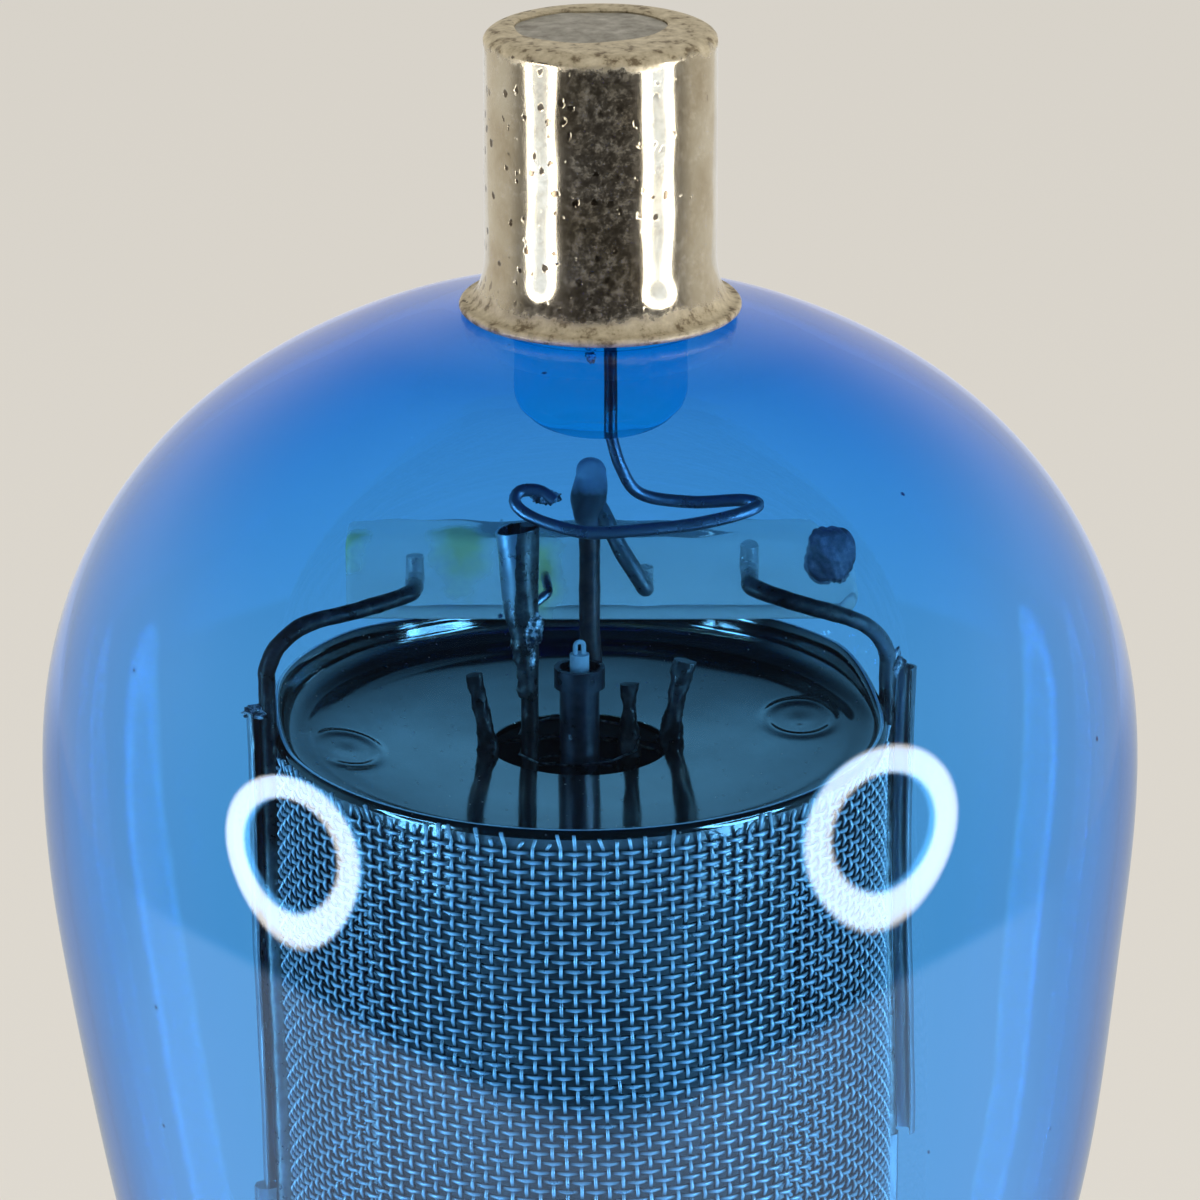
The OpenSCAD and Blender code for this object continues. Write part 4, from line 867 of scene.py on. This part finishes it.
knee = np.array([0.45, stay_y, stay_top + 1.0])
bend = knee + np.array([[0.25, -0.05, -0.3], [0.5, -0.1, -0.75], [0.8, -0.2, -1.3], [1.2, -0.3, -2.1],
                        [1.7, -0.35, -2.9]])
middle_face = [[middle_entry[0], bar_back - 0.5, bar_z + middle_entry[1]]]
over_to_bar = smooth(np.vstack([bend, middle_face, hook(middle_entry, stay_r, 0.4)]), 8)
bar_wire_path = placed(np.vstack([[knee], over_to_bar]), 0.1)
bar_wire_r = uneven(bar_wire_path, 0.34, 0.04, 14)
bar_wire = tube("bead_to_bar_wire", bar_wire_path, bar_wire_r, turned([-0.55, 0.6, 0.2]), 18)
dark_wire.dress(bar_wire, "dark_wire", "bar_wire")


# The bead on top of the centre stay: a drop of grey glass run round the two wires' ends.
# It is milky at its top and foot, and the dark wire shows through its middle.
def glass_drop():
    """A drop about the rod: its radius grows from the rod's own to 0.72 mm and narrows to a rounded top."""
    z = stay_top + np.concatenate([[-0.3, -0.2], np.linspace(-0.1, 1.85, 26)])
    r = 0.44 + 0.28 * np.sin(np.clip((z - stay_top + 0.3) / 2.9, 0, 1) * math.pi) ** 1.2
    dome = arc(0, stay_top + 1.85, r[-1], 4, 88, 14)
    grid = turn(np.vstack([np.stack([r, z], 1), dome]), 48)
    t, z = round_angles(48), grid[..., 2]
    grid[..., 0] += 0.05 * np.sin(2.1 * z)
    grid[..., :2] *= 1 + (0.05 * np.sin(2 * t + 2.3 * z) + 0.03 * np.sin(5 * t - 4.1 * z))[..., None]
    return skin("bead_of_glass", turned(grid + (0.4, stay_y, 0)) + mount_at)


bead = glass_drop()
bead_glass = Finish("bead_glass", Roughness=0.3, IOR=1.3)
milky = bead_glass.noise(900.0, 4.0, 0.6)
up_bead = bead_glass.sum(
    "MULTIPLY_ADD", bead_glass.sum("MULTIPLY_ADD", milky, 0.0014, bead_glass.along("Z")), 400.0, -43.9)
bead_tone = bead_glass.ramp(up_bead, (0.0, (0.36, 0.32, 0.32)), (0.3, (0.14, 0.11, 0.10)),
                            (0.65, (0.09, 0.07, 0.06)), (0.9, (0.62, 0.58, 0.58)))
bead_glass.feed(Base_Color=bead_tone, Transmission_Weight=bead_glass.ramp(up_bead, (0.6, 0.12), (0.95, 0.7)))
bead_glass.bump(milky, 0.06, 0.4)
bead_glass.lets_light_through(0.6, 0.64, 0.70)
bead_glass.dress(bead, "bead_glass", "stay_bead")


# The tie between the tall post and the bar: a thin bright wire, welded to the post.
# It stands straight out of the post, dips, and enters the bar's face in a small hook.
tie_entry = (loop_entry[0], loop_entry[1] + 0.5)
tie_from = np.array([tie_entry[0], bar_back, bar_z + tie_entry[1]])
tie_weld = in_bar(-post_x, bar_z + loop_entry[1] - 0.3) + (0, 0.35 + 0.14 + loop_r, 0)
tie_bends = tie_from + np.array([[0, -0.35, 0], [0.1, -0.9, -0.35], [-0.1, -1.2, -0.5]])
tie_path = placed(smooth(np.vstack([hook(tie_entry, loop_r, 0.3)[::-1], tie_bends, [tie_weld]]), 8), 0.08)
tie = tube("post_tie_wire", tie_path, 0.19, turned([1, 0.05, 0.1]), 14)
grained("drawn_nickel", (1500.0, 4.0, 0.6, (1, 1, 0.25)),
        ((0.3, (0.24, 0.24, 0.25)), (0.7, (0.52, 0.53, 0.55))), (0.02, 0.35),
        ((0.3, 0.2), (0.7, 0.45)), Metallic=1.0).dress(tie, "dark_wire", "post_loop")


# The lid of the outer screen: spun from polished sheet, with a rolled rim, a turned edge inside the woven
# wall, a round hole for the electrodes, and two pressed dimples where it was held.
lid_hole_r, lid_t, floor_z, lip_r, lid_bead, sheath_r = 3.6, 0.25, 100.4, 12.36, 0.23, 12.16
lid_tilt, lid_lift, cove_r = 0.020, 0.3, 10.9


def lid_floor(r):
    """The height of the dished floor: it rises by 0.67 mm from the middle to the wall, as the square."""
    return floor_z - 0.24 + 0.67 * (r / 11.3) ** 2


def spun_lid():
    """The dished section turned about the mount, with a cove of 1 mm between its floor and its wall. The
    sheet is lifted in a faint oval ring round each dimple and sunk at its middle, it has a warp that
    follows the angle, and a tilt of one degree. The wall stands 0.9 to 1.2 mm higher at the back, and
    its turned edge hangs lower there."""
    wall_r, edge_r, cove_z = lip_r - 2 * lid_bead, sheath_r - 0.02, lid_floor(cove_r)
    floor_r = np.linspace(lid_hole_r + 0.06, cove_r, 90)
    under_r = np.linspace(edge_r - 3 * lid_t, lid_hole_r + 0.1, 60)
    a = np.radians(np.linspace(-84, 0, 14))
    cove_h = rim_z - lid_bead - cove_z
    profile = np.vstack([
        [[lid_hole_r, lid_floor(lid_hole_r) - lid_t], [lid_hole_r, lid_floor(lid_hole_r) - 0.06]],
        np.stack([floor_r, lid_floor(floor_r)], 1),
        np.stack([cove_r + (wall_r - cove_r) * np.cos(a), rim_z - lid_bead + cove_h * np.sin(a)], 1)[:-1],
        arc(lip_r - lid_bead, rim_z - lid_bead, lid_bead, 180, 0, 12),
        np.array([[lip_r, -0.34], [edge_r, -0.36], [edge_r, -1.4], [edge_r, -2.5], [edge_r, -3.6],
                  [edge_r - lid_t, -3.6], [edge_r - lid_t, -1.0], [edge_r - 2 * lid_t, -0.9]]) + (0, rim_z),
        np.stack([under_r, lid_floor(under_r) - lid_t], 1)])
    grid = turn(profile, 400)
    x, y, z = grid[..., 0], grid[..., 1], grid[..., 2]
    r, t = np.hypot(x, y), np.arctan2(y, x)
    share = eased(r, 10.8, 10.0)
    for centre in (-9.5, 9.1):
        far = np.hypot(x - centre, y / 1.5)
        z += share * (0.07 * np.exp(-((far - 1.35) / 0.22) ** 2) - 0.06 * np.exp(-(far / 0.5) ** 2))
    z += share * (0.035 * np.sin(2 * t + 0.6) * (r / 12) ** 2 + 0.02 * np.cos(3 * t + 0.35 * r))
    raised = np.clip((z - cove_z) / (rim_z - cove_z), 0, 1) * (r > cove_r)
    z += raised * (0.9 + 0.3 * eased(np.abs(x), 4.0, 8.0)) * eased(y, -2.0, 4.0)
    hanging = (r > edge_r - 0.3) * 2.4 * eased(y, -4.0, 6.0) * eased(z, rim_z - 1.2, rim_z - 3.6)
    z -= np.where(z < rim_z - 1.2, hanging, 0)
    z += lid_lift + lid_tilt * (back_way[0] * x + back_way[1] * y)
    return skin("spun_lid", grid + mount_at, ring_rows=True, crease=40)


lid = spun_lid()
lid_nickel = Finish("polished_lid")
film = lid_nickel.noise(260.0, 5.0, 0.6)
sheet = lid_nickel.ramp(
    film, (0.3, (0.58, 0.54, 0.50)), (0.55, (0.70, 0.66, 0.61)), (0.8, (0.78, 0.74, 0.70)))
lid_middle = mount_at * (0.001, 0.001, 0)
from_axis, level = lid_nickel.away(lid_middle, (1, 1, 0)), lid_nickel.along("Z")
# Painted shade: the lid's edge round the hole is painted near black.
painted_hole_shade = lid_nickel.sum("LESS_THAN", from_axis, 0.00363)
outside = lid_nickel.sum("GREATER_THAN", from_axis, 0.01205)
satin = lid_nickel.sum("MULTIPLY", outside, lid_nickel.sum("LESS_THAN", level, 0.1010))
# Painted highlight: a thin line along the top of the rolled rim is painted near white.
painted_rim_highlight = lid_nickel.sum("MULTIPLY", lid_nickel.sum("COMPARE", from_axis, 0.01213, 0.00006),
                       lid_nickel.sum("GREATER_THAN", level, 0.1010))
# Darker from 11.2 mm out, over the cove and up the wall.
near_wall = lid_nickel.wandering(from_axis, 0.0006, 700.0, 4.0, 0.6)
wall_darkening = lid_nickel.ramp(near_wall, (0.0112, 0.0), (0.0117, 0.85))
# Darker over the half of the lid towards the front.
front_darkening = lid_nickel.ramp(lid_nickel.toward(lid_nickel.place, front_way), (0.001, 0.0), (0.009, 0.5))
walled = lid_nickel.mix(wall_darkening, lid_nickel.mix(front_darkening, sheet, (0.30, 0.28, 0.25)), (0.22, 0.19, 0.17))
rimmed = lid_nickel.mix(painted_rim_highlight, lid_nickel.mix(satin, walled, (0.55, 0.51, 0.48)), (0.95, 0.93, 0.90))
dust = lid_nickel.ramp(lid_nickel.cells(1800.0), (0.05, 1.0), (0.12, 0.0))
polish = lid_nickel.mix(dust, lid_nickel.ramp(film, (0.3, 0.05), (0.7, 0.12)), 0.4)
lid_nickel.feed(Base_Color=lid_nickel.mix(painted_hole_shade, rimmed, 0.01),
                Metallic=lid_nickel.mix(lid_nickel.sum("MAXIMUM", satin, painted_rim_highlight), 1.0, 0.7),
                Roughness=lid_nickel.mix(satin, polish, 0.22))
lid_nickel.bump(lid_nickel.noise(180.0, 3.0, 0.5), 0.05, 0.25)
lid_nickel.on("screen_bottom")
lid_nickel.dress(lid, "screen_nickel", "screen_lid")


# The woven wall of the outer screen: bright round wire in a plain weave, 142 uprights and 93 rings.
# The uprights are cut off just under the lid's rim, and their ends stick up unevenly.
uprights, rings, weave_r, strand_r, mesh_top = 142, 93, 12.28, 0.090, 100.62
ring_pitch = (mesh_top - screen_z) / rings


def woven(name, path, across, closed):
    """Many wires at once: path[i, k] is point k of wire i, and each ring of four points lies in the
    plane of the across direction and the one square to it and to the wire."""
    path, across = swayed(path + mount_at), np.broadcast_to(across, path.shape)
    way = np.roll(path, -1, 1) - np.roll(path, 1, 1) if closed else np.gradient(path, axis=1)
    way = way / np.linalg.norm(way, axis=-1, keepdims=True)
    a = np.radians([45, 135, 225, 315])[:, None]
    ring = np.cos(a) * across[:, :, None] + np.sin(a) * np.cross(way, across)[:, :, None]
    points = path[:, :, None] + strand_r * ring
    number = np.arange(points.size // 3).reshape(points.shape[:3])
    low, high = (number, np.roll(number, -1, 1)) if closed else (number[:, :-1], number[:, 1:])
    quads = np.stack([low, np.roll(low, -1, 2), np.roll(high, -1, 2), high], -1).reshape(-1, 4)
    if not closed:
        quads = np.vstack([quads, number[:, 0, ::-1], number[:, -1]])
    points = points.reshape(-1, 3)
    return put_mesh(name, points, quads[:, ::-1] if inside_out(points, quads) else quads)


def upright_wires(name, first, last):
    """Upright j stands at angle 2 pi (j + 0.5) / 142. Its radius swings by the strand's own radius,
    cos(pi s + pi j), where s counts the rings it passes, so it goes over one ring and under the next.
    Each end stands up by a random amount, and leans by another."""
    draw = np.random.default_rng(5)
    ends = draw.uniform(0.05, 0.55, uprights)[first:last]
    lean = draw.normal(0, 0.05, (uprights, 2))[first:last]
    j, s = np.arange(first, last)[:, None], np.arange(0, rings, 0.5)
    t = 2 * math.pi * (j + 0.5) / uprights
    wander = 0.010 * np.sin(0.31 * s + j * 1.7) + 0.006 * np.sin(1.1 * s + j)
    r = weave_r + strand_r * np.cos(math.pi * (s + j))
    path = around(r, t + wander / weave_r, screen_z + ring_pitch * (s + 0.5))
    out = np.hstack([np.cos(t), np.sin(t), 0 * t])
    side = np.hstack([-np.sin(t), np.cos(t), 0 * t])
    tip = path[:, -1] + out * (0.10 + np.abs(lean[:, :1])) + side * lean[:, 1:] * 2
    tip[:, 2] += ring_pitch * 0.3 + ends
    return woven(name, np.concatenate([path, tip[:, None]], 1), side[:, None], False)


def ring_wires(name, first, last):
    """Ring i lies between two levels, and its radius swings against the uprights: -cos(pi u + pi i)."""
    i, u = np.arange(first, last)[:, None], np.arange(0, uprights, 0.5)
    t = 2 * math.pi * (u + 0.5) / uprights
    r = weave_r - strand_r * np.cos(math.pi * (u + i))
    wave = 0.02 * np.sin(3 * t + 0.35 * i) + 0.012 * np.sin(7 * t + 1.9 * i)
    path = around(r, t, screen_z + ring_pitch * (i + 0.5) + wave)
    return woven(name, path, np.array([0.0, 0.0, 1.0]), True)


weave_metal = Finish("woven_wire", Metallic=0.6)
speckle = weave_metal.noise(2200.0, 3.0, 0.6)
bright = weave_metal.ramp(speckle, (0.3, (0.76, 0.70, 0.66)), (0.6, (0.97, 0.94, 0.92)), (0.8, 1.0))
level = weave_metal.along("Z")
hang = weave_metal.sum(
    "MULTIPLY", weave_metal.step(level, 0.096, 0.082, 0.001 * sway), weave_metal.step(level, 0.063, 0.072))
hung_middle = weave_metal.add(
    "VectorMath", {0: hang, 1: bar_way, 2: lid_middle}, operation="MULTIPLY_ADD")[0]
# Painted shade: each wire is near black where it lies deep in the weave, and bright only at its outer
# crests.
off_wall = weave_metal.sum("MULTIPLY_ADD", weave_metal.away(hung_middle, (1, 1, 0)), 1000.0, -12.0)
unshaded_crest = weave_metal.ramp(off_wall, (0.29, 0.0), (0.41, 1.0))
weave_metal.feed(Base_Color=weave_metal.mix(unshaded_crest, (0.07, 0.066, 0.064), bright),
                 Roughness=weave_metal.clouds((900.0, 3.0), (0.3, 0.24), (0.7, 0.38)))
weave_metal.bump(speckle, 0.01, 0.3)
for wires, name, first, last in (
        (upright_wires, "uprights_back", 0, uprights // 2),
        (upright_wires, "uprights_front", uprights // 2, uprights),
        (ring_wires, "rings_lower", 0, rings // 2),
        (ring_wires, "rings_upper", rings // 2, rings)):
    strands = wires(name, first, last)
    weave_metal.dress(strands, "woven_wire", "screen_mesh")


# What stands in the lid's hole: the cathode with its collar, the white insulator, the grids' fine wire,
# and the ends of the screen's rods and of the short post, which were nipped off with pliers.
grained("oxidised_cathode", (800.0, 5.0, 0.6), ((0.3, (0.035, 0.03, 0.035)), (0.7, (0.16, 0.14, 0.15))),
        (0.03, 0.4), ((0.3, 0.22), (0.7, 0.38)), Metallic=0.85).on("cathode", "cathode_collar")
grained("white_insulator", (1500.0, 4.0, 0.6), ((0.3, (0.42, 0.39, 0.37)), (0.7, (0.60, 0.56, 0.53))),
        (0.03, 0.4), Roughness=0.7).on("heater_insulator", "heater")
grained("fine_grid_wire", (2500.0, 3.0, 0.6), ((0.4, (0.03, 0.027, 0.025)), (0.65, (0.40, 0.38, 0.36))),
        (0.01, 0.3), Metallic=1.0, Roughness=0.3).on("inner_screen", "control_grid")
screen_rod_x, rod_r, stub_h, stub_lean, press_at = 3.75, 0.35, 3.5, 0.55, 45.0


def pinched_rod(node, points, seed):
    """A rod that flattens over its last 1.3 mm, with a waist 0.95 mm below its uneven end, and thickens
    at its root in the hole."""
    path = finer(points, 0.12)
    z = path[:, 2]
    top = np.clip((z - z[-1] + 1.3) / 1.3, 0, 1)
    waist = np.exp(-((z - z[-1] + 0.95) / 0.22) ** 2)
    root = np.clip((floor_z + 1.4 - z) / 1.4, 0, 1)
    radius = uneven(path, rod_r, 0.24, seed) * (1 + 0.04 * top - 0.12 * waist + 0.22 * root)
    rod = tube(node + "_wire", path + mount_at, radius, [0, 1, 0], 24, 50, 0.2 * top, 0.09)
    dark_wire.dress(rod, "dark_wire", node)


for node, side, seed in (("left_screen_rod", -1, 21), ("right_screen_rod", 1, 22)):
    pinched_rod(node, np.array([
        [screen_rod_x, 0, press_at], [screen_rod_x, 0, floor_z + 0.3],
        [screen_rod_x + 0.2 * stub_lean, 0, floor_z + 0.35 * stub_h],
        [screen_rod_x + stub_lean, 0, floor_z + stub_h]]) * (side, 1, 1), seed)
pinched_rod("short_post", [[post_x, 0, press_at], [post_x, 0, rim_z + 1.75]], 23)


# The tab at the tall post's top: a strip of sheet rolled round the post, open at its top and drawn in to
# the post at its foot, where it is welded.
def rolled_tab():
    """A tapering tube: its wall stands 0.09 mm thick, its radius grows from 0.42 to 0.88 mm towards the
    top, and its right side stays upright. Its left side is torn below, as a sum of sines."""
    top, foot, wall = 109.9, 102.8, 0.09
    z = np.linspace(foot, top, 70)
    r = 0.42 + 0.46 * ((z - foot) / (top - foot)) ** 0.9
    profile = np.vstack([np.stack([r, z], 1), np.stack([r - wall, z], 1)[::-1]])
    shift = -(np.concatenate([r, r[::-1]]) - 0.42)[:, None] * (0.95, 0.3, 0)
    grid = turn(profile, 64, shift)
    t, z = round_angles(64), grid[..., 2]
    torn = np.clip(-np.cos(t), 0, 1) * np.clip((106.4 - z) / 1.2, 0, 1)
    grid[..., 0] += 0.06 * torn * (np.sin(3.1 * z) + 0.6 * np.sin(9.3 * z + 1) + 0.35 * np.sin(23 * z + 2))
    grid[..., 0] += 0.10 * torn * eased(z, 106.2, 105.9)
    grid[..., :2] *= 1 + (0.03 * np.sin(3 * t + 1.4 * z))[..., None]
    grid[..., 2] += 0.12 * np.sin(t + 2.0) * (z - foot) / (top - foot)
    return skin("rolled_post_tab", grid + mount_at + (-post_x - 0.08, 0, 0), ring_rows=True, crease=45)


post_tab = rolled_tab()
tab_metal = grained("scorched_tab", (1100.0, 5.0, 0.65),
                    ((0.3, (0.045, 0.034, 0.028)), (0.55, (0.16, 0.13, 0.11)), (0.75, (0.34, 0.30, 0.27))),
                    (0.04, 0.5), ((0.3, 0.18), (0.7, 0.42)), Metallic=0.85)
# Painted reflection: the left flank above the tear is painted light grey for the pale room it mirrors; the
# rest keeps the scorched tones.
left_part = tab_metal.sum("LESS_THAN", tab_metal.wandering(tab_metal.along("X"), 0.0003, 1500.0), -0.00300)
upper_part = tab_metal.ramp(tab_metal.sum("MULTIPLY_ADD", tab_metal.grain, 0.0006, tab_metal.along("Z")),
                            (0.1063, 0.0), (0.1067, 1.0))
painted_reflection_flank = tab_metal.sum("MULTIPLY", left_part, upper_part)
tab_metal.feed(Base_Color=tab_metal.mix(painted_reflection_flank, tab_metal.tone, (0.62, 0.60, 0.57)))
tab_metal.dress(post_tab, "support_metal", "post_sleeve")


# The welds: a burnt lump of metal wherever a wire was welded or cut off.
# They sit on the tab, at both ends of the cap's wire, and where the stay wires leave their sleeves.
def weld(name, centre, size, seed, stretch):
    """A ball shaken by five sines of seeded directions and phases, and stretched."""
    draw = np.random.default_rng(seed)
    n = ball(0.05, 26, 40)
    rough = 0
    for k in range(5):
        way, phase = draw.normal(0, 1, 3), draw.uniform(0, 6.3)
        rough = rough + 0.17 / (1 + 0.5 * k) * np.sin((3 + 3 * k) * (n @ way) + phase)
    return skin(name, centre + size * n * stretch * (1 + rough)[..., None])


burnt_metal = grained("burnt_weld", (2600.0, 4.0, 0.7),
                      ((0.38, (0.03, 0.025, 0.025)), (0.50, (0.20, 0.17, 0.16)), (0.60, (0.85, 0.80, 0.76))),
                      (0.10, 1.0), Metallic=0.8, Roughness=0.4)
post_at, sleeve_at = mount_at + (-post_x, 0, 0), mount_at + (0, 0, sleeve_top)
welds = (
    ("post_weld", post_at + (0.0, -0.60, 105.9), 0.42, 31, (0.9, 0.5, 1.7), "post_sleeve"),
    ("post_weld_foot", post_at + (-0.12, -0.42, 104.6), 0.32, 32, (0.9, 0.5, 1.6), "post_sleeve"),
    ("cap_wire_weld", turned([-1.75, 0.35, 0]) + (0, 0, 110.85), 0.26, 33, (2.0, 1.0, 0.9), "grid_lead"),
    ("button_stub", cap_at - 0.4 * bar_way + (0, 0, 116.4), 0.24, 36, (0.9, 0.9, 1.6), "grid_lead"),
    ("left_sleeve_weld", sleeve_at + (-side_x, 0.0, -0.15), 0.42, 34, (1.15, 0.9, 0.7), "left_sleeve"),
    ("right_sleeve_weld", sleeve_at + (side_x - 0.1, 0.0, 0.2), 0.42, 35, (0.9, 0.9, 1.2), "right_sleeve"))
for name, centre, size, seed, stretch, node in welds:
    lump_of_metal = weld(name, centre, size, seed, stretch)
    burnt_metal.dress(lump_of_metal, "support_metal", node)


# The strips folded round the stay wires at the woven wall's two sides, and the rods that carry them.
# Each is bright nickel sheet, and its fold is open towards the front, so the dark wire shows inside.
def folded_strip(name, turn_from, turn_to, place):
    """An open C in section: the wall between the radii 0.44 and 0.55 mm, carried between two angles round
    the wire's outer side and back."""
    a = np.radians(np.linspace(turn_from, turn_to, 26))[:, None]
    z = np.linspace(sleeve_foot, sleeve_top - 0.1, 60)
    z = np.concatenate([z, z[::-1]])
    r = np.repeat([0.55, 0.44], 60) * (1 + 0.02 * np.sin(1.3 * z + 2 * a))
    return skin(name, swayed(around(r, a, z) + mount_at + (place, 0, 0)), crease=45)


strip_nickel = grained("folded_strip", (1200.0, 4.0, 0.6, (1, 1, 0.15)),
                       ((0.3, (0.50, 0.49, 0.48)), (0.7, (0.76, 0.74, 0.72))),
                       (0.02, 0.35), ((0.3, 0.22), (0.7, 0.42)), Metallic=1.0)
for side, turn_from, turn_to, place in (
        ("left", -142, -307, 0.12 - side_x), ("right", -62, 103, 0.30 + side_x)):
    strip = folded_strip(side + "_folded_strip", turn_from, turn_to, place)
    strip_nickel.dress(strip, "support_metal", side + "_sleeve")
strip_nickel.on("left_support", "right_support", "left_plate_rod", "right_plate_rod", "cathode_rod",
                "getter_cup", "getter_wire")


# The plate inside the woven wall: a cylinder of sheet, blackened with soot to shed its heat.
# It is carried by two rods, and only its shadow shows through the weave.
grained("sooted_plate", (500.0, 5.0, 0.6), ((0.3, (0.09, 0.085, 0.08)), (0.7, (0.20, 0.19, 0.185))),
        (0.04, 0.4), Metallic=0.4, Roughness=0.55).on("plate")


# The stem: a flared tube of clear lead glass, pinched flat round the wires at its top.
# The wires go down through it to the pins.
stem_glass = grained("stem_glass", (250.0, 3.0, 0.5), ((0.3, (0.80, 0.86, 0.88)), (0.7, (0.92, 0.95, 0.96))),
                     (0.1, 0.3), Roughness=0.03, IOR=1.5, Transmission_Weight=1.0)
stem_glass.lets_light_through(0.9, 0.94, 0.95)
stem_glass.on("glass_stem")
circuits = ("heater_{}_a", "heater_{}_b", "plate_{}", "screen_{}", "cathode_{}")
copper = grained("dull_copper", (900.0, 4.0, 0.6), ((0.3, (0.35, 0.16, 0.08)), (0.7, (0.68, 0.36, 0.22))),
                 (0.02, 0.3), Metallic=1.0, Roughness=0.35)
copper.on(*(circuit.format("lead") for circuit in circuits))


# The base: a brown moulded shell cemented to the neck, and five plated pins riveted in its floor.
# The moulding is swirled and has a dull polish, and the pins are streaked along their length.
moulding = grained("brown_moulding", (120.0, 6.0, 0.6),
                   ((0.3, (0.020, 0.010, 0.007)), (0.7, (0.060, 0.030, 0.020))), (0.05, 0.3))
moulding.feed(Roughness=moulding.clouds((900.0, 3.0), (0.3, 0.22), (0.7, 0.4)))
moulding.on("base_shell")
pin_plate = grained("pin_plate", (700.0, 5.0, 0.6, (1, 1, 0.3)),
                    ((0.3, (0.34, 0.28, 0.20)), (0.7, (0.58, 0.53, 0.44))),
                    (0.02, 0.35), ((0.3, 0.2), (0.7, 0.42)), Metallic=1.0)
pin_plate.on(*(circuit.format("pin") for circuit in circuits))
